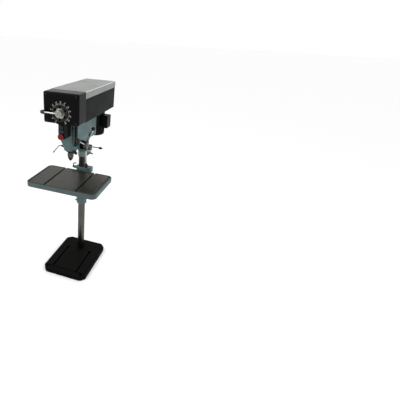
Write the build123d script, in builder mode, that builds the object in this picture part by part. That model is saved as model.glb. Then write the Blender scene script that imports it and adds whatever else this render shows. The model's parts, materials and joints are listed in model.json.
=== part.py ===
"""Floor-standing variable-speed drill press, as separate pieces in millimetres.

The origin is on the floor at the middle of the four holes that bolt the base down.
+Z is up, -Y is the front where the operator stands, +X is the operator's right.
"""
from build123d import *
from math import cos, pi, radians, sin, tan
import os

# clearances
RUN = 0.06          # radial clearance of a turning or sliding fit
FIT = 0.02          # radial clearance of a piece seated on its own body
GAP = 0.3           # free space between faces of pieces that move past each other

# base casting
BASE_W = 440.0
BASE_D = 600.0
BASE_H = 64.0           # floor to the machined pad
BASE_CORNER = 45.0      # chamfer across each corner
APRON_H = 44.0          # floor to the start of the sloping apron
APRON_RISE = 12.0
APRON_SLOPE = 55.0      # degrees away from vertical
PAD_W = 400.0
PAD_D = 508.0
BASE_POCKET_H = 26.0
FLOOR_BOLT_X = 356.0
FLOOR_BOLT_Y = 544.0
FLOOR_HOLE_R = 7.0
SPOT_R = 17.0
BASE_SLOT_X = 246.0     # between the two slots
SLOT_W = 16.0
SLOT_NECK = 18.0        # depth of the narrow part of a T-slot
TEE_W = 27.0
TEE_H = 12.0
BASE_SLOT_BACK = 88.0

# column
COLUMN_R = 35.0
COLUMN_WALL = 9.0
COLUMN_Y = 136.0
COLUMN_FOOT_Z = 10.0
COLUMN_TOP_Z = 1466.0
SOCKET_R = 56.0

# table and what carries it
TABLE_W = 650.0
TABLE_D = 446.0
TABLE_BACK = 95.0
TABLE_TOP_Z = 972.0
TABLE_H = 47.0
TABLE_CORNER = 48.0
TABLE_RIM_DROP = 4.0
TROUGH_DROP = 15.0
RIM_W = 11.0
TROUGH_W = 17.0
FRONT_LIP = 5.0
TABLE_SLOT_X = 294.0
DRAIN_R = 6.0
DRAIN_Y = -180.0
TABLE_BOLT_X = 120.0
TABLE_BOLT_Y = 180.0
TABLE_BOLT_R = 6.0
TABLE_POCKET_H = 22.0
HUB_R = 56.0
HUB_TOP_Z = 1000.0
COLLAR_R = 50.0
COLLAR_BOTTOM_Z = 607.0
COLLAR_H = 61.0
TABLE_CLAMP_Y = 120.0
TABLE_CLAMP_Z = 984.0

# head casting
THROAT = 260.0          # column axis to spindle axis
HEAD_HALF = 80.0
HEAD_FRONT = -182.0
HEAD_REAR = 266.0
HEAD_TOP_Z = 1500.0
HEAD_REAR_Z = 1293.0
TAPER_TOP_Z = 1345.0
TAPER_Z = 1262.0
NOSE_Z = 1242.0
NOSE_R = 57.0
HEAD_SLEEVE_Z = 1152.0
HEAD_SLEEVE_R = 44.0
HEAD_BOSS_R = 58.0
HEAD_BOSS_Z = 1176.0
SUPPORT_H = 48.0        # collar under the head
HEAD_CLAMP_X = 70.0
HEAD_CLAMP_Z = 1190.0
SHELF_H = 16.0
SHELF_REAR = 500.0

# quill and feed
QUILL_R = 28.5
QUILL_BOTTOM_Z = 1226.0
QUILL_LEN = 215.0
STROKE = 124.0
MODULE = 2.5
PINION_TEETH = 16
TOOTH_PLAY = 0.5        # flank play of the rack and pinion
FEED_Z = 1283.0
JOURNAL_R = 13.0
FEED_BOSS_R = 42.0
SPRING_HOUSING_L = 27.0
FEED_HUB_R = 33.0
FEED_HUB_L = 33.0
HANDLE_ANGLE = 33.0     # of the first handle above the rearward horizontal
HANDLE_R = 190.0        # shaft axis to the middle of a knob
HANDLE_ROD_R = 6.0
KNOB_R = 18.5

# depth stop
STOP_X = 72.0
STOP_Y = -172.0
STOP_ROD_R = 5.0
LUG_TOP_Z = 1297.0
LUG_H = 29.0
STOP_NUT_H = 20.0
STOP_NUT_R = 11.0
NUT_CLEAR = 3.0         # left above the lug at full stroke

# spindle and chuck
SPINDLE_R = 12.5
SPLINE_R = 8.5
SPLINE_TIP_R = 10.4
SPLINE_COUNT = 6
SPLINE_W = 3.2
CHUCK_TOP_Z = 1223.0
CHUCK_L = 74.0
CHUCK_R = 26.5
CHUCK_CORE_R = 19.5
JAW_R = 4.4
JAW_L = 36.0
JAW_ANGLE = 15.0
JAW_COUNT = 3

# variable-speed drive
DRIVE_Z = 1598.0        # middle plane of the belt
SLEEVE_R = 15.0
BEARING_R = 31.0
BEARING_H = 16.0
MOTOR_Y = 446.0
MOTOR_R = 88.0
MOTOR_Z0 = 1232.0
MOTOR_Z1 = 1470.0
BELL_H = 34.0
MOTOR_SHAFT_R = 11.0
MOTOR_BEARING_R = 23.5
PLATE_H = 14.0
BELT_TOP_W = 32.0
BELT_H = 12.0
BELT_ANGLE = 13.0       # of each flank
SPINDLE_PITCH_R = 70.0
MOTOR_PITCH_R = 45.0
SPINDLE_SHEAVE_R = 88.0
MOTOR_SHEAVE_R = 66.0

# belt guard, lid and front
GUARD_HALF = 148.5
GUARD_Z0 = 1502.0
GUARD_REAR = 541.0
SHEET = 2.5
LID_SHEET = 2.0
LID_TOP_Z = 1740.0
LID_SKIRT = 53.0
LID_CLEAR = 0.8
BEZEL_FRONT = -301.0
BEZEL_BACK = -168.0
BEZEL_WALL = 6.0
BEZEL_ROUND = 14.0
HINGE_R = 4.5
PIN_R = 2.5
DIAL_Z = 1588.0
RING_R = 92.0
RING_HOLE_R = 30.0
RING_T = 5.0
DIAL_R = 66.0
DIAL_T = 12.0
DIAL_HUB_R = 28.0
DIAL_HUB_L = 42.0
DIAL_SHAFT_R = 9.0
CRANK_R = 138.0

# switch box
SWITCH_W = 56.0
SWITCH_FRONT = -294.0
SWITCH_Z0 = 1378.0
SWITCH_Z1 = 1496.0
SWITCH_WALL = 3.0
LAMP_Z = 1474.0
START_Z = 1441.0
STOP_Z = 1401.0
LAMP_R = 22.0
BUTTON_TRAVEL = 4.0

SPINDLE_Y = COLUMN_Y - THROAT
PINION_PITCH_R = MODULE * PINION_TEETH / 2
RACK_PITCH_Y = SPINDLE_Y + QUILL_R - MODULE
FEED_Y = RACK_PITCH_Y + PINION_PITCH_R
PINION_TIP_R = PINION_PITCH_R + 0.8 * MODULE
FEED_JOURNAL_R = PINION_TIP_R + 0.5
COLUMN_BORE_R = COLUMN_R + RUN
TABLE_BOTTOM_Z = TABLE_TOP_Z - TABLE_H
COLLAR_TOP_Z = COLLAR_BOTTOM_Z + COLLAR_H
QUILL_TOP_Z = QUILL_BOTTOM_Z + QUILL_LEN
PLATE_TOP_Z = HEAD_TOP_Z - SHELF_H
HUB_X0 = HEAD_HALF + SPRING_HOUSING_L + 2 * GAP


def save(piece, name):
    piece.part.label = name
    export_step(piece.part, f"parts/{name}.step")


def plane_x(x, y=0.0, z=0.0):
    """A plane that faces +X, with its own x along +Y and its own y along +Z."""
    return Plane(origin=(x, y, z), x_dir=(0, 1, 0), z_dir=(1, 0, 0))


def plane_front(y, x=0.0, z=0.0):
    """A plane that faces -Y, with its own x along +X and its own y along +Z."""
    return Plane(origin=(x, y, z), x_dir=(1, 0, 0), z_dir=(0, -1, 0))


def plane_z(z, x=0.0, y=0.0):
    return Plane(origin=(x, y, z), x_dir=(1, 0, 0), z_dir=(0, 0, 1))


def ring(plane, outer, inner, length):
    """A plain tube standing on a plane."""
    with BuildPart() as tube:
        with BuildSketch(plane):
            Circle(outer)
            Circle(inner, mode=Mode.SUBTRACT)
        extrude(amount=length)
    return tube


# ------------------------------------------------------------------ stand

def tee_slot(x, y0, y1, top_z, neck):
    """Cut a T-slot that runs along Y."""
    length = y1 - y0
    middle = (y0 + y1) / 2
    with BuildSketch(plane_z(top_z, x, middle)) as narrow:
        Rectangle(SLOT_W, length)
    extrude(narrow.sketch, amount=-neck, mode=Mode.SUBTRACT)
    with BuildSketch(plane_z(top_z - neck, x, middle)) as wide:
        Rectangle(TEE_W, length)
    extrude(wide.sketch, amount=-TEE_H, mode=Mode.SUBTRACT)


def make_base():
    pad_z = APRON_H + APRON_RISE
    slot_depth = SLOT_NECK + TEE_H
    with BuildPart() as base:
        with BuildSketch() as outline:
            Rectangle(BASE_W, BASE_D)
            chamfer(outline.vertices(), BASE_CORNER)
            fillet(outline.vertices(), 12)
        extrude(amount=APRON_H)
        with BuildSketch(Plane.XY.offset(APRON_H)):
            add(outline.sketch)
        extrude(amount=APRON_RISE, taper=APRON_SLOPE)
        with BuildSketch(Plane.XY.offset(APRON_H)):
            RectangleRounded(PAD_W, PAD_D, 12)
        extrude(amount=BASE_H - APRON_H)
        chamfer(base.faces().sort_by(Axis.Z)[-1].edges(), 1.5)
        # cored cells under the deck, with ribs between them
        with BuildSketch():
            with GridLocations(132, 136, 3, 4):
                RectangleRounded(116, 120, 8)
        extrude(amount=BASE_POCKET_H, mode=Mode.SUBTRACT)
        with BuildSketch():
            with GridLocations(FLOOR_BOLT_X, FLOOR_BOLT_Y, 2, 2):
                Circle(SPOT_R + 5)
        extrude(amount=APRON_H - 2)
        with BuildSketch(plane_z(0, 0, COLUMN_Y)):
            Circle(SOCKET_R)
        extrude(amount=BASE_H - 2)
        with BuildSketch(plane_z(BASE_H - 2, 0, COLUMN_Y)):
            Circle(COLUMN_R + 8)
        extrude(amount=8)
        with BuildSketch(plane_z(COLUMN_FOOT_Z, 0, COLUMN_Y)):
            Circle(COLUMN_R + FIT)
        extrude(amount=BASE_H, mode=Mode.SUBTRACT)
        # floor bolt holes and their spot faces
        with BuildSketch():
            with GridLocations(FLOOR_BOLT_X, FLOOR_BOLT_Y, 2, 2):
                Circle(FLOOR_HOLE_R)
        extrude(amount=BASE_H + 1, mode=Mode.SUBTRACT)
        with BuildSketch(Plane.XY.offset(APRON_H - 3)):
            with GridLocations(FLOOR_BOLT_X, FLOOR_BOLT_Y, 2, 2):
                Circle(SPOT_R)
        extrude(amount=BASE_H, mode=Mode.SUBTRACT)
        for x in (-BASE_SLOT_X / 2, BASE_SLOT_X / 2):
            tee_slot(x, -PAD_D / 2 - 4, BASE_SLOT_BACK, BASE_H, SLOT_NECK)
            # round entry for the bolt heads at the back of the slot
            with BuildSketch(plane_z(BASE_H, x, BASE_SLOT_BACK)):
                Circle(TEE_W / 2 + 1)
            extrude(amount=-slot_depth, mode=Mode.SUBTRACT)
        # two radial holes for the screws that lock the column
        for turn in (45, 135):
            with BuildSketch(screw_plane(turn, COLUMN_R - 2, BASE_H / 2)):
                Circle(6 + FIT)
            extrude(amount=SOCKET_R, mode=Mode.SUBTRACT)
    return base


def screw_plane(turn, radius, z):
    """A plane square to a radius of the column, facing outwards."""
    way = (cos(radians(turn)), sin(radians(turn)), 0)
    return Plane(origin=(radius * way[0], COLUMN_Y + radius * way[1], z), x_dir=(0, 0, 1), z_dir=way)


def make_column():
    with BuildPart() as column:
        with BuildSketch(plane_z(COLUMN_FOOT_Z, 0, COLUMN_Y)):
            Circle(COLUMN_R)
            Circle(COLUMN_R - COLUMN_WALL, mode=Mode.SUBTRACT)
        extrude(amount=COLUMN_TOP_Z - COLUMN_FOOT_Z)
        chamfer(column.faces().sort_by(Axis.Z)[-1].edges(), 1.5)
    return column


def make_set_screws():
    with BuildPart() as screws:
        for turn in (45, 135):
            with BuildSketch(screw_plane(turn, COLUMN_R + FIT, BASE_H / 2)):
                Circle(6)
            extrude(amount=20)
            with BuildSketch(screw_plane(turn, COLUMN_R + FIT + 20, BASE_H / 2)):
                RegularPolygon(3, 6)
            extrude(amount=-6, mode=Mode.SUBTRACT)
        with BuildSketch(screw_plane(0, COLUMN_R + FIT, HEAD_SLEEVE_Z - SUPPORT_H / 3)):
            Circle(5)
        extrude(amount=60)
        with BuildSketch(screw_plane(0, COLUMN_R + FIT + 60, HEAD_SLEEVE_Z - SUPPORT_H / 3)):
            RegularPolygon(8, 6)
        extrude(amount=7)
    return screws


def make_head_collar():
    """The safety collar that carries the head, with its screw ear on the right."""
    top = HEAD_SLEEVE_Z - GAP
    bottom = HEAD_SLEEVE_Z - SUPPORT_H
    with BuildPart() as collar:
        with BuildSketch(plane_z(bottom, 0, COLUMN_Y)):
            Circle(COLUMN_R + 7)
        extrude(amount=top - bottom)
        with BuildSketch(Plane(origin=(0, COLUMN_Y + 11, 0), x_dir=(1, 0, 0), z_dir=(0, -1, 0))):
            with BuildLine():
                Polyline((30, bottom), (44, bottom), (86, top - 12), (86, top), (30, top), close=True)
            make_face()
        extrude(amount=22)
        with BuildSketch(plane_z(bottom, 0, COLUMN_Y)):
            Circle(COLUMN_R + FIT)
        extrude(amount=SUPPORT_H, mode=Mode.SUBTRACT)
        with BuildSketch(screw_plane(0, COLUMN_R - 2, top + GAP - SUPPORT_H / 3)):
            Circle(5 + FIT)
        extrude(amount=80, mode=Mode.SUBTRACT)
    return collar


# ------------------------------------------------------------------ table

def make_table_collar():
    with BuildPart() as collar:
        with BuildSketch(plane_z(COLLAR_BOTTOM_Z, 0, COLUMN_Y)):
            Circle(COLLAR_R)
        extrude(amount=COLLAR_H)
        chamfer(collar.edges().filter_by(GeomType.CIRCLE), 2.5)
        with BuildSketch(screw_plane(180, COLUMN_R + 4, COLLAR_BOTTOM_Z + 16)):
            Circle(11)
        extrude(amount=COLLAR_R - COLUMN_R + 4)
        with BuildSketch(plane_z(COLLAR_BOTTOM_Z, 0, COLUMN_Y)):
            Circle(COLUMN_BORE_R)
        extrude(amount=COLLAR_H, mode=Mode.SUBTRACT)
        with BuildSketch(screw_plane(180, COLUMN_R - 2, COLLAR_BOTTOM_Z + 16)):
            Circle(5 + FIT)
        extrude(amount=40, mode=Mode.SUBTRACT)
    return collar


def make_table_collar_screw():
    z = COLLAR_BOTTOM_Z + 16
    with BuildPart() as screw:
        with BuildSketch(screw_plane(180, COLUMN_R + GAP, z)):
            Circle(5)
        extrude(amount=COLLAR_R - COLUMN_R + 8)
        with BuildSketch(screw_plane(180, COLLAR_R + 8, z)):
            RegularPolygon(8, 6)
        extrude(amount=8)
    return screw


def make_table_bracket():
    sleeve_z = COLLAR_TOP_Z + GAP
    arm_front = TABLE_BACK - 285
    flange_h = 20
    with BuildPart() as bracket:
        with BuildSketch(plane_z(sleeve_z, 0, COLUMN_Y)):
            Circle(HUB_R - 8)
        extrude(amount=HUB_TOP_Z - sleeve_z)
        with BuildSketch(plane_z(HUB_TOP_Z - 190, 0, COLUMN_Y)):
            Circle(HUB_R)
        extrude(amount=190)
        chamfer(bracket.faces().sort_by(Axis.Z)[-1].edges(), 3)
        # knee rib under the table
        with BuildSketch(plane_x(-16)):
            with BuildLine():
                Polyline(
                    (arm_front + 14, TABLE_BOTTOM_Z - flange_h),
                    (arm_front + 14, TABLE_BOTTOM_Z - flange_h - 14),
                    (COLUMN_Y - HUB_R + 8, HUB_TOP_Z - 300),
                    (COLUMN_Y, HUB_TOP_Z - 300),
                    (COLUMN_Y, TABLE_BOTTOM_Z - flange_h),
                    close=True,
                )
            make_face()
        extrude(amount=32)
        # flange that the table is bolted to
        with BuildSketch(plane_z(TABLE_BOTTOM_Z, 0, 0)):
            with BuildLine():
                Polyline(
                    (-70, arm_front), (70, arm_front), (88, arm_front + 18), (88, 40),
                    (HUB_R, COLUMN_Y), (-HUB_R, COLUMN_Y), (-88, 40), (-88, arm_front + 18),
                    close=True,
                )
            make_face()
        extrude(amount=-flange_h)
        # block on the right and boss on the left of the hub
        with BuildSketch(plane_z(HUB_TOP_Z - 50, 49, COLUMN_Y + 4)):
            RectangleRounded(98, 62, 8)
        extrude(amount=48)
        with BuildSketch(plane_x(-HUB_R - 20, TABLE_CLAMP_Y, TABLE_CLAMP_Z)):
            Circle(14)
        extrude(amount=40)
        with BuildSketch(plane_z(sleeve_z - 1, 0, COLUMN_Y)):
            Circle(COLUMN_BORE_R)
        extrude(amount=HUB_TOP_Z, mode=Mode.SUBTRACT)
        # flat that clears the table's back edge
        with BuildSketch(plane_z(TABLE_BOTTOM_Z, 0, TABLE_BACK + GAP - 100)):
            Rectangle(300, 200)
        extrude(amount=TABLE_H + GAP, mode=Mode.SUBTRACT)
        # slit in the block and the bore of the clamp screw
        with BuildSketch(plane_z(HUB_TOP_Z - 51, 60, COLUMN_Y + 4)):
            Rectangle(90, 4)
        extrude(amount=60, mode=Mode.SUBTRACT)
        with BuildSketch(plane_x(-HUB_R - 22, TABLE_CLAMP_Y, TABLE_CLAMP_Z)):
            Circle(7 + RUN)
        extrude(amount=60, mode=Mode.SUBTRACT)
        with BuildSketch(plane_z(TABLE_BOTTOM_Z, 0, TABLE_BACK - 185)):
            with GridLocations(TABLE_BOLT_X, TABLE_BOLT_Y, 2, 2):
                Circle(TABLE_BOLT_R + FIT)
        extrude(amount=-flange_h - 2, mode=Mode.SUBTRACT)
    return bracket


def make_table_top():
    mid_y = TABLE_BACK - TABLE_D / 2
    front = TABLE_BACK - TABLE_D
    trough_z = TABLE_TOP_Z - TROUGH_DROP
    inner_w = TABLE_W - 2 * RIM_W
    inner_y0 = front + FRONT_LIP
    inner_y1 = TABLE_BACK - RIM_W
    pad_w = inner_w - 2 * TROUGH_W
    pad_y0 = inner_y0 + FRONT_LIP
    pad_y1 = inner_y1 - TROUGH_W
    slot_neck = TABLE_H - TEE_H - 9
    with BuildPart() as table:
        with BuildSketch(plane_z(TABLE_BOTTOM_Z, 0, mid_y)):
            RectangleRounded(TABLE_W, TABLE_D, TABLE_CORNER)
        extrude(amount=TABLE_H - TABLE_RIM_DROP)
        fillet(table.faces().sort_by(Axis.Z)[-1].edges(), 3.5)
        fillet(table.faces().sort_by(Axis.Z)[0].edges(), 5)
        with BuildSketch(plane_z(trough_z, 0, (inner_y0 + inner_y1) / 2)):
            RectangleRounded(inner_w, inner_y1 - inner_y0, TABLE_CORNER - RIM_W)
        extrude(amount=TROUGH_DROP, mode=Mode.SUBTRACT)
        with BuildSketch(plane_z(trough_z, 0, (pad_y0 + pad_y1) / 2)):
            RectangleRounded(pad_w, pad_y1 - pad_y0, TABLE_CORNER - RIM_W - 12)
        extrude(amount=TROUGH_DROP)
        chamfer(table.faces().sort_by(Axis.Z)[-1].edges(), 1.0)
        # cored cells in the underside, clear of the slots and the bracket
        with BuildSketch(plane_z(TABLE_BOTTOM_Z, 0, mid_y)):
            with GridLocations(2 * (TABLE_SLOT_X / 2 + 88), 136, 2, 3):
                RectangleRounded(120, 120, 8)
            with Locations((-56, -150), (56, -150)):
                RectangleRounded(96, 84, 8)
        extrude(amount=TABLE_POCKET_H, mode=Mode.SUBTRACT)
        for x in (-TABLE_SLOT_X / 2, TABLE_SLOT_X / 2):
            tee_slot(x, pad_y0 - 1, TABLE_BACK + 1, TABLE_TOP_Z, slot_neck)
        with BuildSketch(plane_z(trough_z, TABLE_W / 2 - RIM_W - TROUGH_W / 2, DRAIN_Y)):
            Circle(DRAIN_R)
        extrude(amount=-TABLE_H, mode=Mode.SUBTRACT)
        with BuildSketch(plane_z(TABLE_BOTTOM_Z, 0, TABLE_BACK - 185)):
            with GridLocations(TABLE_BOLT_X, TABLE_BOLT_Y, 2, 2):
                Circle(TABLE_BOLT_R + FIT)
        extrude(amount=26, mode=Mode.SUBTRACT)
    return table


def make_table_bolts():
    with BuildPart() as bolts:
        with BuildSketch(plane_z(TABLE_BOTTOM_Z - 20, 0, TABLE_BACK - 185)):
            with GridLocations(TABLE_BOLT_X, TABLE_BOLT_Y, 2, 2):
                Circle(TABLE_BOLT_R)
        extrude(amount=42)
        with BuildSketch(plane_z(TABLE_BOTTOM_Z - 20, 0, TABLE_BACK - 185)):
            with GridLocations(TABLE_BOLT_X, TABLE_BOLT_Y, 2, 2):
                RegularPolygon(11, 6)
        extrude(amount=-8)
    return bolts


def make_table_clamp_handle():
    """Clamp screw with a hooked handle rod."""
    x0 = -HUB_R - 20 - GAP
    with BuildPart() as handle:
        with BuildSketch(plane_x(x0 - 10, TABLE_CLAMP_Y, TABLE_CLAMP_Z)):
            Circle(7)
        extrude(amount=10 - x0 - COLUMN_R - 2)
        with BuildSketch(plane_x(x0 - 14, TABLE_CLAMP_Y, TABLE_CLAMP_Z)):
            Circle(10)
        extrude(amount=14)
        with BuildLine(Plane(origin=(0, TABLE_CLAMP_Y, TABLE_CLAMP_Z), x_dir=(1, 0, 0), z_dir=(0, -1, 0))):
            rod = FilletPolyline(
                (x0 - 8, 0), (x0 - 10, 36), (-HUB_R + 2, 37), radius=14,
            )
        with BuildSketch(Plane(origin=rod @ 0, z_dir=rod % 0)):
            Circle(5)
        sweep()
    return handle


# ------------------------------------------------------------------ head

def make_head_casting():
    mid_y = (HEAD_FRONT + HEAD_REAR) / 2
    web_rear = COLUMN_Y - HEAD_BOSS_R + 20
    with BuildPart() as head:
        # upper housing
        with BuildSketch(plane_z(TAPER_TOP_Z, 0, mid_y)):
            RectangleRounded(2 * HEAD_HALF, HEAD_REAR - HEAD_FRONT, 12)
        extrude(amount=HEAD_TOP_Z - TAPER_TOP_Z)
        with BuildSketch(plane_z(HEAD_REAR_Z, 0, (COLUMN_Y + HEAD_REAR) / 2)):
            RectangleRounded(2 * HEAD_HALF, HEAD_REAR - COLUMN_Y, 12)
        extrude(amount=TAPER_TOP_Z - HEAD_REAR_Z)
        # lower housing narrows to the nose
        front_d = COLUMN_Y - 30 - HEAD_FRONT
        with BuildSketch(plane_z(TAPER_TOP_Z, 0, HEAD_FRONT + front_d / 2)):
            RectangleRounded(2 * HEAD_HALF, front_d, 12)
        with BuildSketch(plane_z(TAPER_Z, 0, SPINDLE_Y + front_d / 2 - NOSE_R - 8)):
            RectangleRounded(2 * NOSE_R, front_d - 16, NOSE_R - 1)
        loft()
        with BuildSketch(plane_z(NOSE_Z, 0, SPINDLE_Y)):
            Circle(NOSE_R)
        extrude(amount=TAPER_TOP_Z - NOSE_Z)
        # web from the nose to the column
        with BuildSketch(plane_x(-42)):
            with BuildLine():
                nose_foot = (SPINDLE_Y + 46, NOSE_Z)
                web_foot = (web_rear, HEAD_BOSS_Z)
                ThreePointArc(nose_foot, (SPINDLE_Y + 110, NOSE_Z - 18), web_foot)
                Polyline(web_foot, (web_rear, TAPER_TOP_Z), (SPINDLE_Y, TAPER_TOP_Z), nose_foot)
            make_face()
        extrude(amount=84)
        # boss round the column
        with BuildSketch(plane_z(HEAD_BOSS_Z, 0, COLUMN_Y)):
            Circle(HEAD_BOSS_R)
        extrude(amount=TAPER_TOP_Z - HEAD_BOSS_Z)
        with BuildSketch(plane_z(HEAD_SLEEVE_Z, 0, COLUMN_Y)):
            Circle(HEAD_SLEEVE_R)
        extrude(amount=HEAD_BOSS_Z - HEAD_SLEEVE_Z)
        # clamp ears, feed boss, lock boss and depth-stop lug
        with BuildSketch(plane_z(HEAD_CLAMP_Z - 22, 64, COLUMN_Y)):
            RectangleRounded(48, 48, 8)
        extrude(amount=46)
        with BuildSketch(plane_x(0, FEED_Y, FEED_Z)):
            Circle(FEED_BOSS_R)
        extrude(amount=HEAD_HALF)
        with BuildSketch(plane_x(-NOSE_R - 14, FEED_Y, FEED_Z)):
            Circle(JOURNAL_R + 9)
        extrude(amount=NOSE_R)
        with BuildSketch(plane_x(-NOSE_R - 16, SPINDLE_Y, TAPER_Z)):
            Circle(13)
        extrude(amount=40)
        with BuildSketch(plane_z(LUG_TOP_Z - LUG_H, STOP_X - 14, STOP_Y)):
            SlotOverall(54, 26)
        extrude(amount=LUG_H)
        # shelf that carries the motor
        with BuildSketch(plane_z(PLATE_TOP_Z, 0, (HEAD_REAR + SHELF_REAR) / 2 - 20)):
            RectangleRounded(2 * HEAD_HALF - 10, SHELF_REAR - HEAD_REAR + 40, 12)
        extrude(amount=SHELF_H)
        # cores that make it a casting and not a block
        with BuildSketch(plane_z(TAPER_TOP_Z - 22, 0, 5)):
            RectangleRounded(2 * HEAD_HALF - 28, 128, 10)
        extrude(amount=HEAD_TOP_Z, mode=Mode.SUBTRACT)
        with BuildSketch(plane_z(HEAD_REAR_Z - 1, 0, HEAD_REAR - 36)):
            RectangleRounded(2 * HEAD_HALF - 28, 46, 10)
        extrude(amount=PLATE_TOP_Z - HEAD_REAR_Z, mode=Mode.SUBTRACT)
        # bores for the quill, the drive sleeve's bearings and the column
        with BuildSketch(plane_z(NOSE_Z, 0, SPINDLE_Y)):
            Circle(QUILL_R + RUN)
        extrude(amount=QUILL_TOP_Z + 10 - NOSE_Z, mode=Mode.SUBTRACT)
        with BuildSketch(plane_z(NOSE_Z, 0, SPINDLE_Y)):
            Circle(SLEEVE_R + 4)
        extrude(amount=HEAD_TOP_Z - NOSE_Z, mode=Mode.SUBTRACT)
        with BuildSketch(plane_z(HEAD_TOP_Z, 0, SPINDLE_Y)):
            Circle(BEARING_R + FIT)
        extrude(amount=-2 * BEARING_H - 6, mode=Mode.SUBTRACT)
        with BuildSketch(plane_z(HEAD_SLEEVE_Z - 1, 0, COLUMN_Y)):
            Circle(COLUMN_BORE_R)
        extrude(amount=COLUMN_TOP_Z + 3 - HEAD_SLEEVE_Z, mode=Mode.SUBTRACT)
        with BuildSketch(plane_z(PLATE_TOP_Z, 0, MOTOR_Y)):
            Circle(MOTOR_SHAFT_R + 16)
        extrude(amount=SHELF_H, mode=Mode.SUBTRACT)
        # cross bores for the pinion shaft, the quill lock and the clamp bolt
        with BuildSketch(plane_x(-PINION_PITCH_R, FEED_Y, FEED_Z)):
            Circle(FEED_JOURNAL_R + RUN)
        extrude(amount=HEAD_HALF + PINION_PITCH_R + 1, mode=Mode.SUBTRACT)
        with BuildSketch(plane_x(-NOSE_R - 6, FEED_Y, FEED_Z)):
            Circle(JOURNAL_R + RUN)
        extrude(amount=NOSE_R, mode=Mode.SUBTRACT)
        with BuildSketch(plane_x(-NOSE_R - 20, SPINDLE_Y, TAPER_Z)):
            Circle(6 + RUN)
        extrude(amount=NOSE_R, mode=Mode.SUBTRACT)
        with BuildSketch(plane_front(COLUMN_Y + 30, HEAD_CLAMP_X, HEAD_CLAMP_Z)):
            Circle(6 + RUN)
        extrude(amount=60, mode=Mode.SUBTRACT)
        with BuildSketch(plane_z(HEAD_SLEEVE_Z - 1, 64, COLUMN_Y)):
            Rectangle(62, 4)
        extrude(amount=100, mode=Mode.SUBTRACT)
        # channel for the depth-stop rod, and the rod's hole in the lug
        with BuildSketch(plane_z(LUG_TOP_Z, STOP_X + 3, STOP_Y - 3)):
            Rectangle(28, 28)
        extrude(amount=HEAD_TOP_Z - LUG_TOP_Z + 1, mode=Mode.SUBTRACT)
        with BuildSketch(plane_z(LUG_TOP_Z + 1, STOP_X, STOP_Y)):
            Circle(STOP_ROD_R + GAP)
        extrude(amount=-LUG_H - 40, mode=Mode.SUBTRACT)
        # bolt holes of the motor plate
        with BuildSketch(plane_z(PLATE_TOP_Z, 0, MOTOR_Y)):
            with GridLocations(110, 70, 2, 2):
                Circle(5 + FIT)
        extrude(amount=SHELF_H, mode=Mode.SUBTRACT)
    return head


def make_head_clamp_lever():
    """Clamp bolt across the split ears, with a lever and its knob."""
    rear = COLUMN_Y + 24 + GAP
    lever_y = rear + 9
    with BuildPart() as lever:
        with BuildSketch(plane_front(rear + 18, HEAD_CLAMP_X, HEAD_CLAMP_Z)):
            Circle(10)
        extrude(amount=18)
        with BuildSketch(plane_front(rear + 1, HEAD_CLAMP_X, HEAD_CLAMP_Z)):
            Circle(6)
        extrude(amount=58)
        with BuildSketch(plane_x(HEAD_CLAMP_X, lever_y, HEAD_CLAMP_Z)):
            Circle(4.5)
        extrude(amount=84)
        knob = Plane(origin=(HEAD_CLAMP_X + 80, lever_y, HEAD_CLAMP_Z), x_dir=(0, 1, 0), z_dir=(0, 0, 1))
        with BuildSketch(Plane(origin=knob.origin, x_dir=(1, 0, 0), z_dir=(0, -1, 0))):
            with BuildLine():
                Polyline((0, 0), (0, 7), (5, 12))
                Spline((5, 12), (24, 8), (34, 0), tangents=((1, 0.3), (0, -1)))
                Line((34, 0), (0, 0))
            make_face()
        revolve(axis=Axis(knob.origin, (1, 0, 0)))
    return lever


def make_quill_lock():
    """Bent lever on the screw that locks the quill."""
    x0 = -NOSE_R - 16 - GAP
    with BuildPart() as lock:
        with BuildSketch(plane_x(x0 - 12, SPINDLE_Y, TAPER_Z)):
            Circle(6)
        extrude(amount=12 - x0 - QUILL_R - 2)
        with BuildSketch(plane_x(x0 - 12, SPINDLE_Y, TAPER_Z)):
            Circle(9)
        extrude(amount=12)
        with BuildLine(Plane(origin=(0, SPINDLE_Y, TAPER_Z), x_dir=(1, 0, 0), z_dir=(0, -1, 0))):
            rod = FilletPolyline((x0 - 6, 0), (x0 - 34, 0), (x0 - 86, -64), radius=12)
        with BuildSketch(Plane(origin=rod @ 0, z_dir=rod % 0)):
            Circle(3.5)
        sweep()
        with BuildSketch(Plane(origin=rod @ 1, z_dir=rod % 1)):
            Circle(5.5)
        extrude(amount=14)
        fillet(lock.edges().sort_by(Axis.Z)[0], 3)
    return lock


# ------------------------------------------------------------------ quill, feed and depth stop

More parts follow.
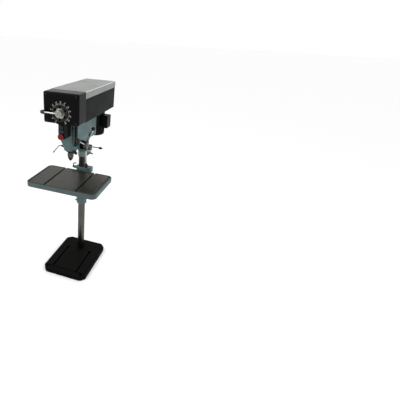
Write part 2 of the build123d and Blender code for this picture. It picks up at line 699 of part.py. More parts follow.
def make_quill():
    """Hollow quill with a rack cut in its back."""
    pitch = pi * MODULE
    root_y = RACK_PITCH_Y - MODULE
    rack_z0 = FEED_Z - 1.5 * pitch
    rack_z1 = FEED_Z + STROKE + 1.5 * pitch
    with BuildPart() as quill:
        with BuildSketch(plane_z(QUILL_BOTTOM_Z, 0, SPINDLE_Y)):
            Circle(QUILL_R)
        extrude(amount=QUILL_LEN)
        chamfer(quill.edges().filter_by(GeomType.CIRCLE), 1)
        with BuildSketch(plane_z(QUILL_BOTTOM_Z, 0, SPINDLE_Y)):
            Circle(SPINDLE_R + 3)
        extrude(amount=QUILL_LEN, mode=Mode.SUBTRACT)
        for end_z in (QUILL_BOTTOM_Z, QUILL_TOP_Z - BEARING_H):
            with BuildSketch(plane_z(end_z, 0, SPINDLE_Y)):
                Circle(MOTOR_BEARING_R - 2 + FIT)
            extrude(amount=BEARING_H, mode=Mode.SUBTRACT)
        # the rack: a space at every pitch, with one space level with the pinion
        count = int((rack_z1 - rack_z0) / pitch) + 1
        half = pitch / 4 + TOOTH_PLAY / 2
        lean = tan(radians(20)) * MODULE
        with BuildSketch(plane_x(-PINION_PITCH_R + 1)):
            for k in range(count):
                z = rack_z0 + (k + 0.5) * pitch
                with BuildLine():
                    Polyline(
                        (root_y, z - half + lean), (RACK_PITCH_Y + 1.3 * MODULE, z - half - lean * 1.3),
                        (RACK_PITCH_Y + 1.3 * MODULE, z + half + lean * 1.3), (root_y, z + half - lean),
                        close=True,
                    )
                make_face()
        extrude(amount=2 * PINION_PITCH_R - 2, mode=Mode.SUBTRACT)
    return quill


def pinion_outline():
    """Sixteen straight-flanked teeth round the pinion's pitch circle."""
    root = PINION_PITCH_R - 1.15 * MODULE
    half_pitch = pi * MODULE / 4 - TOOTH_PLAY / 2
    root_half = half_pitch + 0.28 * MODULE
    tip_half = half_pitch - 0.34 * MODULE
    with BuildSketch(plane_x(-PINION_PITCH_R + 2, FEED_Y, FEED_Z)) as outline:
        Circle(root)
        with BuildSketch(mode=Mode.PRIVATE) as tooth:
            with BuildLine():
                Polyline(
                    (root - 1.5, -root_half), (PINION_TIP_R, -tip_half),
                    (PINION_TIP_R, tip_half), (root - 1.5, root_half),
                    close=True,
                )
            make_face()
        with PolarLocations(0, PINION_TEETH, start_angle=180):
            add(tooth.sketch)
    return outline.sketch


def make_feed_shaft():
    """Pinion and its journals, turned from one bar."""
    with BuildPart() as shaft:
        extrude(pinion_outline(), amount=2 * PINION_PITCH_R - 4)
        with BuildSketch(plane_x(-NOSE_R - 4, FEED_Y, FEED_Z)):
            Circle(JOURNAL_R)
        extrude(amount=NOSE_R + 4)
        with BuildSketch(plane_x(PINION_PITCH_R - 2, FEED_Y, FEED_Z)):
            Circle(FEED_JOURNAL_R)
        extrude(amount=HEAD_HALF - PINION_PITCH_R + 2 - GAP)
        with BuildSketch(plane_x(HEAD_HALF - 1, FEED_Y, FEED_Z)):
            Circle(JOURNAL_R)
        extrude(amount=HUB_X0 + FEED_HUB_L - HEAD_HALF - 5)
    return shaft


def make_spring_housing():
    """Shallow drum round the shaft that holds the clock spring."""
    with BuildPart() as drum:
        with BuildSketch(plane_x(HEAD_HALF, FEED_Y, FEED_Z)):
            Circle(FEED_BOSS_R - 2)
        extrude(amount=SPRING_HOUSING_L)
        chamfer(drum.faces().sort_by(Axis.X)[-1].edges(), 3)
        with BuildSketch(plane_x(HEAD_HALF, FEED_Y, FEED_Z)):
            Circle(FEED_BOSS_R - 5)
        extrude(amount=SPRING_HOUSING_L - 4, mode=Mode.SUBTRACT)
        with BuildSketch(plane_x(HEAD_HALF, FEED_Y, FEED_Z)):
            Circle(JOURNAL_R + RUN)
        extrude(amount=SPRING_HOUSING_L, mode=Mode.SUBTRACT)
    return drum


def make_return_spring():
    """Clock spring, wound as one flat spiral."""
    turns = 5
    strip = 1.2
    inner = JOURNAL_R + 1.5
    outer = FEED_BOSS_R - 5 - FIT - strip
    steps = 24 * turns

    def on_spiral(k, extra):
        r = inner + (outer - inner) * k / steps + extra
        a = 2 * pi * turns * k / steps
        return (r * cos(a), r * sin(a))

    with BuildPart() as spring:
        with BuildSketch(plane_x(HEAD_HALF + 2, FEED_Y, FEED_Z)):
            with BuildLine():
                near = Spline(*[on_spiral(k, 0) for k in range(0, steps + 1, 2)])
                far = Spline(*[on_spiral(k, strip) for k in range(0, steps + 1, 2)])
                Line(near @ 0, far @ 0)
                Line(near @ 1, far @ 1)
            make_face()
        extrude(amount=SPRING_HOUSING_L - 8)
    return spring


def handle_plane(angle):
    """A plane square to a feed handle, at the shaft axis, facing outwards."""
    way = (0, cos(radians(angle)), sin(radians(angle)))
    return Plane(origin=(HUB_X0 + FEED_HUB_L / 2, FEED_Y, FEED_Z), x_dir=(1, 0, 0), z_dir=way)


HANDLE_ANGLES = [HANDLE_ANGLE + 120 * k for k in range(3)]


def make_feed_hub():
    with BuildPart() as hub:
        with BuildSketch(Plane(origin=(HUB_X0, FEED_Y, FEED_Z), x_dir=(1, 0, 0), z_dir=(0, -1, 0))):
            with BuildLine():
                Polyline((0, 0), (0, FEED_HUB_R - 3), (3, FEED_HUB_R), (FEED_HUB_L - 12, FEED_HUB_R))
                Spline(
                    (FEED_HUB_L - 12, FEED_HUB_R), (FEED_HUB_L - 2, FEED_HUB_R - 12), (FEED_HUB_L, 0),
                    tangents=((1, 0), (0, -1)),
                )
                Line((FEED_HUB_L, 0), (0, 0))
            make_face()
        revolve(axis=Axis((HUB_X0, FEED_Y, FEED_Z), (1, 0, 0)))
        for angle in HANDLE_ANGLES:
            with BuildSketch(handle_plane(angle).offset(FEED_HUB_R - 8)):
                Circle(11)
            with BuildSketch(handle_plane(angle).offset(FEED_HUB_R + 8)):
                Circle(9)
            loft()
        with BuildSketch(plane_x(HUB_X0, FEED_Y, FEED_Z)):
            Circle(JOURNAL_R + FIT)
        extrude(amount=FEED_HUB_L - 4, mode=Mode.SUBTRACT)
        for angle in HANDLE_ANGLES:
            with BuildSketch(handle_plane(angle).offset(JOURNAL_R + 4)):
                Circle(HANDLE_ROD_R + FIT)
            extrude(amount=40, mode=Mode.SUBTRACT)
    return hub


def make_feed_rods():
    with BuildPart() as rods:
        for angle in HANDLE_ANGLES:
            with BuildSketch(handle_plane(angle).offset(JOURNAL_R + 5)):
                Circle(HANDLE_ROD_R)
            extrude(amount=HANDLE_R - JOURNAL_R - 5)
    return rods


def make_feed_knobs():
    with BuildPart() as knobs:
        for angle in HANDLE_ANGLES:
            seat = handle_plane(angle).offset(HANDLE_R)
            with Locations(seat.origin):
                Sphere(KNOB_R)
            with BuildSketch(handle_plane(angle).offset(HANDLE_R - KNOB_R - 7)):
                Circle(9)
            extrude(amount=12)
            with BuildSketch(handle_plane(angle).offset(HANDLE_R - KNOB_R - 8)):
                Circle(HANDLE_ROD_R + FIT)
            extrude(amount=KNOB_R + 8 + FIT, mode=Mode.SUBTRACT)
    return knobs


def make_stop_collar():
    """Clamped round the quill's nose, with an arm that carries the depth rod."""
    top = NOSE_Z - 1
    height = top - QUILL_BOTTOM_Z - 2
    with BuildPart() as collar:
        with BuildSketch(plane_z(top, 0, SPINDLE_Y)):
            Circle(QUILL_R + 12)
            with BuildLine():
                Polyline((10, -37), (STOP_X, STOP_Y - SPINDLE_Y - 12), (STOP_X, STOP_Y - SPINDLE_Y + 12), (30, -8), close=True)
            make_face()
            with Locations((STOP_X, STOP_Y - SPINDLE_Y)):
                Circle(12)
            Circle(QUILL_R + FIT, mode=Mode.SUBTRACT)
            with Locations((STOP_X, STOP_Y - SPINDLE_Y)):
                Circle(STOP_ROD_R + FIT, mode=Mode.SUBTRACT)
            with Locations((-QUILL_R - 6, 0)):
                Rectangle(14, 3, mode=Mode.SUBTRACT)
        extrude(amount=-height)
    return collar


def make_depth_rod():
    bottom = QUILL_BOTTOM_Z + 2
    with BuildPart() as rod:
        with BuildSketch(plane_z(bottom, STOP_X, STOP_Y)):
            Circle(STOP_ROD_R)
        extrude(amount=HEAD_TOP_Z - 4 - bottom)
        with BuildSketch(plane_z(bottom, STOP_X, STOP_Y)):
            RegularPolygon(8, 6)
        extrude(amount=-6)
        chamfer(rod.faces().sort_by(Axis.Z)[-1].edges(), 1)
    return rod


def make_depth_nuts():
    """Pair of thumb nuts that set the depth."""
    z0 = LUG_TOP_Z + GAP + STROKE + NUT_CLEAR
    with BuildPart() as nuts:
        for k in range(2):
            with BuildSketch(plane_z(z0 + k * (STOP_NUT_H / 2 + GAP), STOP_X, STOP_Y)):
                RegularPolygon(STOP_NUT_R * 0.9, 12)
                Circle(STOP_ROD_R + RUN, mode=Mode.SUBTRACT)
            extrude(amount=STOP_NUT_H / 2 - GAP)
    return nuts


def make_quill_bearings():
    with BuildPart() as bearings:
        for z in (QUILL_BOTTOM_Z + 1, QUILL_TOP_Z - BEARING_H):
            with BuildSketch(plane_z(z, 0, SPINDLE_Y)):
                Circle(MOTOR_BEARING_R - 2)
                Circle(SPINDLE_R + RUN, mode=Mode.SUBTRACT)
            extrude(amount=BEARING_H - 1)
    return bearings


# ------------------------------------------------------------------ spindle and chuck

def make_spindle():
    """Spindle with a splined upper end and a short taper for the chuck."""
    spline_z = QUILL_TOP_Z + 4
    with BuildPart() as spindle:
        with BuildSketch(plane_z(CHUCK_TOP_Z + 0.5, 0, SPINDLE_Y)):
            Circle(SPINDLE_R)
        extrude(amount=spline_z - CHUCK_TOP_Z)
        with BuildSketch(plane_z(CHUCK_TOP_Z + 0.5, 0, SPINDLE_Y)):
            Circle(SPINDLE_R - 2)
        with BuildSketch(plane_z(CHUCK_TOP_Z - 26, 0, SPINDLE_Y)):
            Circle(SPINDLE_R - 3.5)
        loft()
        with BuildSketch(plane_z(spline_z, 0, SPINDLE_Y)):
            Circle(SPLINE_R)
            with PolarLocations(SPLINE_TIP_R / 2, SPLINE_COUNT):
                Rectangle(SPLINE_TIP_R, SPLINE_W)
        extrude(amount=DRIVE_Z + 70 - spline_z)
    return spindle


def make_drive_sleeve():
    """Splined sleeve that the spindle slides in and the sheaves sit on."""
    z0 = HEAD_TOP_Z - 2 * BEARING_H - 8
    length = DRIVE_Z + 80 - z0
    with BuildPart() as sleeve:
        with BuildSketch(plane_z(z0, 0, SPINDLE_Y)):
            Circle(SLEEVE_R)
        extrude(amount=length)
        with BuildSketch(plane_z(HEAD_TOP_Z + GAP, 0, SPINDLE_Y)):
            Circle(SLEEVE_R + 4)
        extrude(amount=6)
        with BuildSketch(plane_z(z0, 0, SPINDLE_Y)):
            Circle(SPLINE_R + GAP)
            with PolarLocations(SPLINE_TIP_R / 2, SPLINE_COUNT):
                Rectangle(SPLINE_TIP_R + 2 * GAP, SPLINE_W + 2 * GAP)
        extrude(amount=length, mode=Mode.SUBTRACT)
    return sleeve


def make_sleeve_bearings():
    with BuildPart() as bearings:
        for z in (HEAD_TOP_Z - BEARING_H, HEAD_TOP_Z - 2 * BEARING_H - 6):
            with BuildSketch(plane_z(z, 0, SPINDLE_Y)):
                Circle(BEARING_R)
                Circle(SLEEVE_R + RUN, mode=Mode.SUBTRACT)
            extrude(amount=BEARING_H)
    return bearings


def jaw_frame(k):
    """A plane on jaw k's own slanted axis, facing up along the way it retracts."""
    turn = 360 / JAW_COUNT * k + 90
    lean = radians(JAW_ANGLE)
    out = (cos(radians(turn)), sin(radians(turn)))
    way = (sin(lean) * out[0], sin(lean) * out[1], cos(lean))
    foot = (out[0] * JAW_R * 0.62, SPINDLE_Y + out[1] * JAW_R * 0.62, CHUCK_TOP_Z - CHUCK_L - 8)
    return Plane(origin=foot, x_dir=(-out[1], out[0], 0), z_dir=way)


def make_chuck_body():
    bottom = CHUCK_TOP_Z - CHUCK_L
    with BuildPart() as body:
        with BuildSketch(Plane(origin=(0, SPINDLE_Y, CHUCK_TOP_Z), x_dir=(1, 0, 0), z_dir=(0, -1, 0))):
            with BuildLine():
                Polyline(
                    (0, 0), (16, 0), (18.5, -3), (22.5, -4), (CHUCK_R - 2, -6), (CHUCK_R - 2, -12),
                    (CHUCK_CORE_R, -13), (CHUCK_CORE_R, -CHUCK_L + 22), (CHUCK_R - 5, -CHUCK_L + 20),
                )
                Spline((CHUCK_R - 5, -CHUCK_L + 20), (17, -CHUCK_L + 6), (12, -CHUCK_L))
                Polyline((12, -CHUCK_L), (0, -CHUCK_L), (0, 0))
            make_face()
        revolve(axis=Axis((0, SPINDLE_Y, 0), (0, 0, 1)))
        # taper socket for the spindle nose
        with BuildSketch(plane_z(CHUCK_TOP_Z + 0.5, 0, SPINDLE_Y)):
            Circle(SPINDLE_R - 2 + FIT)
        with BuildSketch(plane_z(CHUCK_TOP_Z - 27, 0, SPINDLE_Y)):
            Circle(SPINDLE_R - 3.5 + FIT)
        loft(mode=Mode.SUBTRACT)
        with BuildSketch(plane_z(bottom, 0, SPINDLE_Y)):
            Circle(7)
        extrude(amount=CHUCK_L - 32, mode=Mode.SUBTRACT)
        for k in range(JAW_COUNT):
            with BuildSketch(jaw_frame(k)):
                Circle(JAW_R + RUN)
            extrude(amount=JAW_L + 26, mode=Mode.SUBTRACT)
    return body


def make_chuck_sleeve():
    """Geared outer sleeve with the nut cavity inside."""
    top = CHUCK_TOP_Z - 13 - GAP
    bottom = CHUCK_TOP_Z - CHUCK_L + 22 + GAP
    with BuildPart() as sleeve:
        with BuildSketch(Plane(origin=(0, SPINDLE_Y, 0), x_dir=(1, 0, 0), z_dir=(0, -1, 0))):
            with BuildLine():
                Polyline(
                    (CHUCK_CORE_R + RUN, bottom), (CHUCK_R - 3, bottom), (CHUCK_R, bottom + 5),
                    (CHUCK_R, top - 3), (CHUCK_R - 1.5, top), (CHUCK_CORE_R + RUN, top),
                    (CHUCK_CORE_R + RUN, top - 6), (CHUCK_R - 3.5, top - 7),
                    (CHUCK_R - 3.5, bottom + 9), (CHUCK_CORE_R + RUN, bottom + 8), close=True,
                )
            make_face()
        revolve(axis=Axis((0, SPINDLE_Y, 0), (0, 0, 1)))
        # bevel teeth for the chuck key round the lower edge
        with BuildSketch(plane_z(bottom, 0, SPINDLE_Y)):
            with PolarLocations(CHUCK_R - 0.6, 30):
                Rectangle(3.0, 2.2)
        extrude(amount=6, mode=Mode.SUBTRACT)
        with BuildSketch(plane_z(bottom + 12, 0, SPINDLE_Y)):
            with PolarLocations(CHUCK_R + 0.2, 36):
                Rectangle(1.6, 1.6)
        extrude(amount=top - bottom - 18, mode=Mode.SUBTRACT)
    return sleeve


def make_jaw(k):
    """Round jaw whose tip is ground to a 120-degree wedge against the other two."""
    frame = jaw_frame(k)
    with BuildPart() as jaw:
        with BuildSketch(frame):
            Circle(JAW_R)
        extrude(amount=JAW_L)
        turn = 360 / JAW_COUNT * k + 90
        wedge = Plane(origin=(0, SPINDLE_Y, CHUCK_TOP_Z - CHUCK_L - 20),
                      x_dir=(cos(radians(turn)), sin(radians(turn)), 0), z_dir=(0, 0, 1))
        reach = 40
        with BuildSketch(wedge):
            with BuildLine():
                Polyline(
                    (2 * GAP, 0), (reach, -reach * tan(radians(60))), (-reach, -reach * tan(radians(60))),
                    (-reach, reach * tan(radians(60))), (reach, reach * tan(radians(60))), close=True,
                )
            make_face()
        extrude(amount=80, mode=Mode.SUBTRACT)
        with BuildSketch(plane_z(CHUCK_TOP_Z - CHUCK_L - 8, 0, SPINDLE_Y)):
            Circle(60)
        extrude(amount=-20, mode=Mode.SUBTRACT)
    return jaw


# ------------------------------------------------------------------ motor and drive

def make_motor_shell():
    with BuildPart() as shell:
        z0 = MOTOR_Z0 + BELL_H
        z1 = MOTOR_Z1 - BELL_H
        with BuildSketch(plane_z(z0, 0, MOTOR_Y)):
            Circle(MOTOR_R)
            with PolarLocations(MOTOR_R, 28):
                Rectangle(5, 4)
            Circle(MOTOR_R - 5, mode=Mode.SUBTRACT)
        extrude(amount=z1 - z0)
        # flat seat for the terminal box
        with BuildSketch(plane_x(60, MOTOR_Y - 20, 1380)):
            Rectangle(86, 96)
        extrude(amount=MOTOR_R + 4 - 60)
        with BuildSketch(plane_z(z0, 0, MOTOR_Y)):
            Circle(MOTOR_R - 5)
        extrude(amount=z1 - z0, mode=Mode.SUBTRACT)
    return shell


def make_motor_bells():
    """Lower and upper end bells, with the bearing seats."""
    mid = (MOTOR_Z0 + MOTOR_Z1) / 2
    half = (MOTOR_Z1 - MOTOR_Z0) / 2
    with BuildPart() as bells:
        for side in (-1, 1):
            with BuildSketch(Plane(origin=(0, MOTOR_Y, mid), x_dir=(1, 0, 0), z_dir=(0, -1, 0))):
                with BuildLine():
                    rim = side * (half - BELL_H)
                    end = side * half
                    Line((0, rim), (MOTOR_R + 1, rim))
                    Line((MOTOR_R + 1, rim), (MOTOR_R + 1, rim + side * 12))
                    Spline(
                        (MOTOR_R + 1, rim + side * 12), (MOTOR_R - 12, end - side * 6), (MOTOR_R - 34, end),
                        tangents=((0, side), (-1, 0)),
                    )
                    Polyline((MOTOR_R - 34, end), (0, end), (0, rim))
                make_face()
            revolve(axis=Axis((0, MOTOR_Y, 0), (0, 0, 1)))
        for z, way in ((MOTOR_Z0 + BELL_H, -1), (MOTOR_Z1 - BELL_H, 1)):
            with BuildSketch(plane_z(z, 0, MOTOR_Y)):
                Circle(MOTOR_R - 26)
            extrude(amount=way * 10, mode=Mode.SUBTRACT)
            with BuildSketch(plane_z(z, 0, MOTOR_Y)):
                Circle(MOTOR_BEARING_R + FIT)
            extrude(amount=way * (BELL_H - 6), mode=Mode.SUBTRACT)
        with BuildSketch(plane_z(MOTOR_Z1, 0, MOTOR_Y)):
            Circle(MOTOR_SHAFT_R + 1)
        extrude(amount=-BELL_H, mode=Mode.SUBTRACT)
        # cooling slots through the lower bell
        with BuildSketch(plane_z(MOTOR_Z0 - 1, 0, MOTOR_Y)):
            with PolarLocations(MOTOR_R - 44, 10):
                Rectangle(22, 6)
        extrude(amount=BELL_H + 2, mode=Mode.SUBTRACT)
    return bells


def make_motor_stator():
    z0 = MOTOR_Z0 + BELL_H + 16
    return ring(plane_z(z0, 0, MOTOR_Y), MOTOR_R - 5 - FIT, MOTOR_R - 38, MOTOR_Z1 - MOTOR_Z0 - 2 * BELL_H - 32)


def make_motor_rotor():
    """Rotor core with its fan ring, on the motor shaft."""
    z0 = MOTOR_Z0 + 6 + GAP
    core_z = MOTOR_Z0 + BELL_H + 16
    with BuildPart() as rotor:
        with BuildSketch(plane_z(z0, 0, MOTOR_Y)):
            Circle(MOTOR_SHAFT_R - 1)
        extrude(amount=BELL_H)
        with BuildSketch(plane_z(z0 + 20, 0, MOTOR_Y)):
            Circle(MOTOR_SHAFT_R - 1)
        extrude(amount=DRIVE_Z + 96 - z0 - 20)
        with BuildSketch(plane_z(core_z, 0, MOTOR_Y)):
            Circle(MOTOR_R - 40)
        extrude(amount=MOTOR_Z1 - MOTOR_Z0 - 2 * BELL_H - 32)
        with BuildSketch(plane_z(core_z - 12, 0, MOTOR_Y)):
            Circle(MOTOR_SHAFT_R + 6)
            with PolarLocations(MOTOR_R - 60, 12):
                Rectangle(28, 3)
        extrude(amount=13)
    return rotor


def make_motor_bearings():
    with BuildPart() as bearings:
        for z in (MOTOR_Z0 + 6, MOTOR_Z1 - 6 - 14):
            with BuildSketch(plane_z(z, 0, MOTOR_Y)):
                Circle(MOTOR_BEARING_R)
                Circle(MOTOR_SHAFT_R - 1 + RUN, mode=Mode.SUBTRACT)
            extrude(amount=14)
    return bearings


def make_motor_plate():
    with BuildPart() as plate:
        with BuildSketch(plane_z(PLATE_TOP_Z - PLATE_H, 0, MOTOR_Y)):
            RectangleRounded(150, 150, 14)
            Circle(MOTOR_SHAFT_R + 16, mode=Mode.SUBTRACT)
            with GridLocations(110, 70, 2, 2):
                Circle(5 + FIT, mode=Mode.SUBTRACT)
        extrude(amount=PLATE_H)
    return plate


def make_motor_bolts():
    """Hang the plate from the shelf; their heads are on top of the shelf."""
    with BuildPart() as bolts:
        with BuildSketch(plane_z(PLATE_TOP_Z - PLATE_H, 0, MOTOR_Y)):
            with GridLocations(110, 70, 2, 2):
                Circle(5)
        extrude(amount=PLATE_H + SHELF_H)
        with BuildSketch(plane_z(HEAD_TOP_Z, 0, MOTOR_Y)):
            with GridLocations(110, 70, 2, 2):
                RegularPolygon(9, 6)
        extrude(amount=7)
    return bolts


def make_motor_box():
    """Terminal box on the motor's right side."""
    with BuildPart() as box:
        with BuildSketch(plane_x(MOTOR_R + 4, MOTOR_Y - 20, 1380)):
            RectangleRounded(100, 118, 6)
        extrude(amount=54)
        fillet(box.faces().sort_by(Axis.X)[-1].edges(), 4)
        with BuildSketch(plane_x(MOTOR_R + 7, MOTOR_Y - 20, 1380)):
            RectangleRounded(94, 112, 4)
        extrude(amount=48, mode=Mode.SUBTRACT)
        with BuildSketch(plane_z(1380 - 60, 119, MOTOR_Y - 20)):
            Circle(10 + FIT)
        extrude(amount=6, mode=Mode.SUBTRACT)
    return box


def make_cord_bushing():
    """Open cable bushing in the floor of the terminal box."""
    with BuildPart() as bushing:
        with BuildSketch(plane_z(1380 - 59, 119, MOTOR_Y - 20)):
            Circle(10)
        extrude(amount=4)
        with BuildSketch(plane_z(1380 - 59, 119, MOTOR_Y - 20)):
            Circle(13)
        extrude(amount=-10)
        chamfer(bushing.faces().sort_by(Axis.Z)[0].edges(), 2)
        with BuildSketch(plane_z(1380 - 50, 119, MOTOR_Y - 20)):
            Circle(5)
        extrude(amount=-30, mode=Mode.SUBTRACT)
    return bushing


def make_flange(y, outer, bore, pitch_r, side):
    """One conical half of a sheave; side is +1 above the belt and -1 below it."""
    slope = tan(radians(BELT_ANGLE))
    pitch_half = BELT_TOP_W / 2 - slope * BELT_H / 2

    def face_z(r):
        return side * (pitch_half + slope * (r - pitch_r) + GAP)

    hub = bore + 9
    with BuildPart() as flange:
        with BuildSketch(Plane(origin=(0, y, DRIVE_Z), x_dir=(1, 0, 0), z_dir=(0, -1, 0))):
            with BuildLine():
                Polyline(
                    (bore, face_z(hub)), (hub, face_z(hub)), (outer, face_z(outer)),
                    (outer, face_z(outer) + side * 5), (hub + 4, face_z(hub) + side * 10),
                    (hub, face_z(hub) + side * 24), (bore, face_z(hub) + side * 24), close=True,
                )
            make_face()
        revolve(axis=Axis((0, y, 0), (0, 0, 1)))
    return flange


def make_sheave_spring():
    """Coil spring that closes the motor sheave."""
    slope = tan(radians(BELT_ANGLE))
    hub = MOTOR_SHAFT_R + 8
    seat = DRIVE_Z + BELT_TOP_W / 2 - slope * BELT_H / 2 + slope * (hub - MOTOR_PITCH_R) + GAP + 24
    wire = 2.5
    length = DRIVE_Z + 84 - seat - 2 * wire
    with BuildPart() as spring:
        with BuildLine():
            coil = Helix(pitch=length / 4, height=length, radius=MOTOR_SHAFT_R + 5,
                         center=(0, MOTOR_Y, seat + wire + FIT))
        with BuildSketch(Plane(origin=coil @ 0, z_dir=coil % 0)):
            Circle(wire)
        sweep(is_frenet=True)
        with BuildSketch(plane_z(DRIVE_Z + 84, 0, MOTOR_Y)):
            Circle(MOTOR_SHAFT_R + 9)
            Circle(MOTOR_SHAFT_R - 1 + FIT, mode=Mode.SUBTRACT)
        extrude(amount=6)
    return spring


def make_drive_belt():
    """Wide vee belt round both sheaves."""
    gap = MOTOR_Y - SPINDLE_Y
    lean = (SPINDLE_PITCH_R - MOTOR_PITCH_R) / gap
    cosine = (1 - lean * lean) ** 0.5

    def touch(y, r, side):
        return (side * r * cosine, y + r * lean)

    slope = tan(radians(BELT_ANGLE))
    top_half = BELT_TOP_W / 2
    low_half = top_half - slope * BELT_H
    with BuildPart() as belt:
        with BuildLine(plane_z(DRIVE_Z)) as loop:
            a = touch(SPINDLE_Y, SPINDLE_PITCH_R, 1)
            b = touch(MOTOR_Y, MOTOR_PITCH_R, 1)
            c = touch(MOTOR_Y, MOTOR_PITCH_R, -1)
            d = touch(SPINDLE_Y, SPINDLE_PITCH_R, -1)
            Line(a, b)
            ThreePointArc(b, (0, MOTOR_Y + MOTOR_PITCH_R), c)
            Line(c, d)
            ThreePointArc(d, (0, SPINDLE_Y - SPINDLE_PITCH_R), a)
        start = loop.wires()[0]
        with BuildSketch(Plane(origin=(*a, DRIVE_Z), x_dir=(1, 0, 0), z_dir=start % 0)):
            with BuildLine():
                Polyline(
                    (-BELT_H / 2, -low_half), (BELT_H / 2, -top_half), (BELT_H / 2, top_half),
                    (-BELT_H / 2, low_half), close=True,
                )
            make_face()
        sweep(path=start, transition=Transition.ROUND)
    return belt


# ------------------------------------------------------------------ guard and front

def make_guard_tray():
    front = BEZEL_BACK + 0.5
    rear = GUARD_REAR - SHEET - FIT
    with BuildPart() as tray:
        with BuildSketch(plane_z(HEAD_TOP_Z, 0, (front + rear) / 2)):
            Rectangle(2 * (GUARD_HALF - SHEET - FIT), rear - front)
        extrude(amount=4)
        with BuildSketch(plane_z(HEAD_TOP_Z, 0, SPINDLE_Y)):
            Circle(SLEEVE_R + 8)
        extrude(amount=4, mode=Mode.SUBTRACT)
        with BuildSketch(plane_z(HEAD_TOP_Z, 0, MOTOR_Y)):
            Circle(MOTOR_SHAFT_R + 12)
            with GridLocations(110, 70, 2, 2):
                Circle(12)
        extrude(amount=4, mode=Mode.SUBTRACT)
    return tray


def make_guard_shell():
    """Folded sheet: two side panels and the rear panel, with hinge eyes."""
    front = BEZEL_BACK + 0.5
    top = LID_TOP_Z - LID_SHEET - 2
    with BuildPart() as shell:
        with BuildSketch(plane_z(HEAD_TOP_Z, 0, (front + GUARD_REAR) / 2)):
            Rectangle(2 * GUARD_HALF, GUARD_REAR - front)
        extrude(amount=top - HEAD_TOP_Z)
        fillet(shell.edges().filter_by(Axis.Z).group_by(Axis.Y)[-1], 4)
        with BuildSketch(plane_z(HEAD_TOP_Z, 0, (front + GUARD_REAR) / 2 - SHEET)):
            Rectangle(2 * (GUARD_HALF - SHEET), GUARD_REAR - front)
        extrude(amount=top - HEAD_TOP_Z, mode=Mode.SUBTRACT)
        # folded return along the top of each panel
        for x in (-GUARD_HALF + 7, GUARD_HALF - 7):
            with BuildSketch(plane_z(top - 2, x, (front + GUARD_REAR) / 2)):
                Rectangle(14, GUARD_REAR - front)
            extrude(amount=2)
        hinge_eyes((-95, 95))
    return shell


HINGE_Y = GUARD_REAR + LID_CLEAR + LID_SHEET + HINGE_R + GAP
HINGE_Z = LID_TOP_Z - LID_SKIRT


def hinge_eyes(places):
    """Rolled eyes on the hinge axis with a tab down to the rear panel."""
    for x in places:
        with BuildSketch(plane_x(x - 20, HINGE_Y, HINGE_Z)) as eye:
            Circle(HINGE_R)
            with Locations((-(HINGE_Y - GUARD_REAR) / 2, -HINGE_R - 7)):
                Rectangle(HINGE_Y - GUARD_REAR, 9)
            with Locations((-1, -HINGE_R - 3)):
                Rectangle(2, 12)
            Circle(PIN_R + FIT, mode=Mode.SUBTRACT)
        extrude(eye.sketch, amount=40)


def make_lid():
    """Light sheet lid with skirts, hinged at the back."""
    front = BEZEL_BACK + 1
    rear = GUARD_REAR + LID_CLEAR + LID_SHEET
    half = GUARD_HALF + LID_CLEAR + LID_SHEET
    with BuildPart() as lid:
        with BuildSketch(plane_z(LID_TOP_Z, 0, (front + rear) / 2)):
            Rectangle(2 * half, rear - front)
        extrude(amount=-LID_SKIRT)
        fillet(lid.edges().filter_by(Axis.Z).group_by(Axis.Y)[-1], 5)
        fillet(lid.faces().sort_by(Axis.Z)[-1].edges().filter_by(Axis.Y), 4)
        with BuildSketch(plane_z(LID_TOP_Z - LID_SHEET, 0, (front + rear) / 2 - LID_SHEET)):
            Rectangle(2 * (half - LID_SHEET), rear - front)
        extrude(amount=-LID_SKIRT, mode=Mode.SUBTRACT)
        with BuildSketch(plane_x(-65, HINGE_Y, HINGE_Z)):
            Circle(HINGE_R)
            with Locations((-HINGE_R / 2 - 0.5, HINGE_R / 2 + 1)):
                Rectangle(HINGE_R + 1, HINGE_R + 2)
            Circle(PIN_R + RUN, mode=Mode.SUBTRACT)
        extrude(amount=130)
    return lid


def make_lid_pin():
    with BuildPart() as pin:
        with BuildSketch(plane_x(-116, HINGE_Y, HINGE_Z)):
            Circle(PIN_R)
        extrude(amount=232)
    return pin


def make_front_bezel():
    """Rounded front casting that closes the belt guard and carries the speed dial."""
    height = LID_TOP_Z - HEAD_TOP_Z
    half = GUARD_HALF + LID_CLEAR + LID_SHEET
    mid_z = HEAD_TOP_Z + height / 2
    with BuildPart() as bezel:
        with BuildSketch(plane_front(BEZEL_BACK, 0, mid_z)):
            RectangleRounded(2 * half, height, BEZEL_ROUND)
        extrude(amount=BEZEL_BACK - BEZEL_FRONT)
        fillet(bezel.faces().sort_by(Axis.Y)[0].edges(), BEZEL_ROUND - 2)
        with BuildSketch(plane_front(BEZEL_BACK, 0, mid_z)):
            RectangleRounded(2 * (half - BEZEL_WALL), height - 2 * BEZEL_WALL, BEZEL_ROUND - 4)
        extrude(amount=BEZEL_BACK - BEZEL_FRONT - BEZEL_WALL, mode=Mode.SUBTRACT)
        # inner boss for the dial shaft
        with BuildSketch(plane_front(BEZEL_FRONT + BEZEL_WALL + 24, 0, DIAL_Z)):
            Circle(DIAL_SHAFT_R + 9)
        extrude(amount=26)
        with BuildSketch(plane_front(BEZEL_BACK, 0, DIAL_Z)):
            Circle(DIAL_SHAFT_R + RUN)
        extrude(amount=BEZEL_BACK - BEZEL_FRONT, mode=Mode.SUBTRACT)
        with BuildSketch(plane_front(BEZEL_FRONT + BEZEL_WALL, 0, mid_z)):
            with GridLocations(2 * half - 50, height - 40, 2, 2):
                Circle(3 + FIT)
        extrude(amount=BEZEL_WALL, mode=Mode.SUBTRACT)
    return bezel


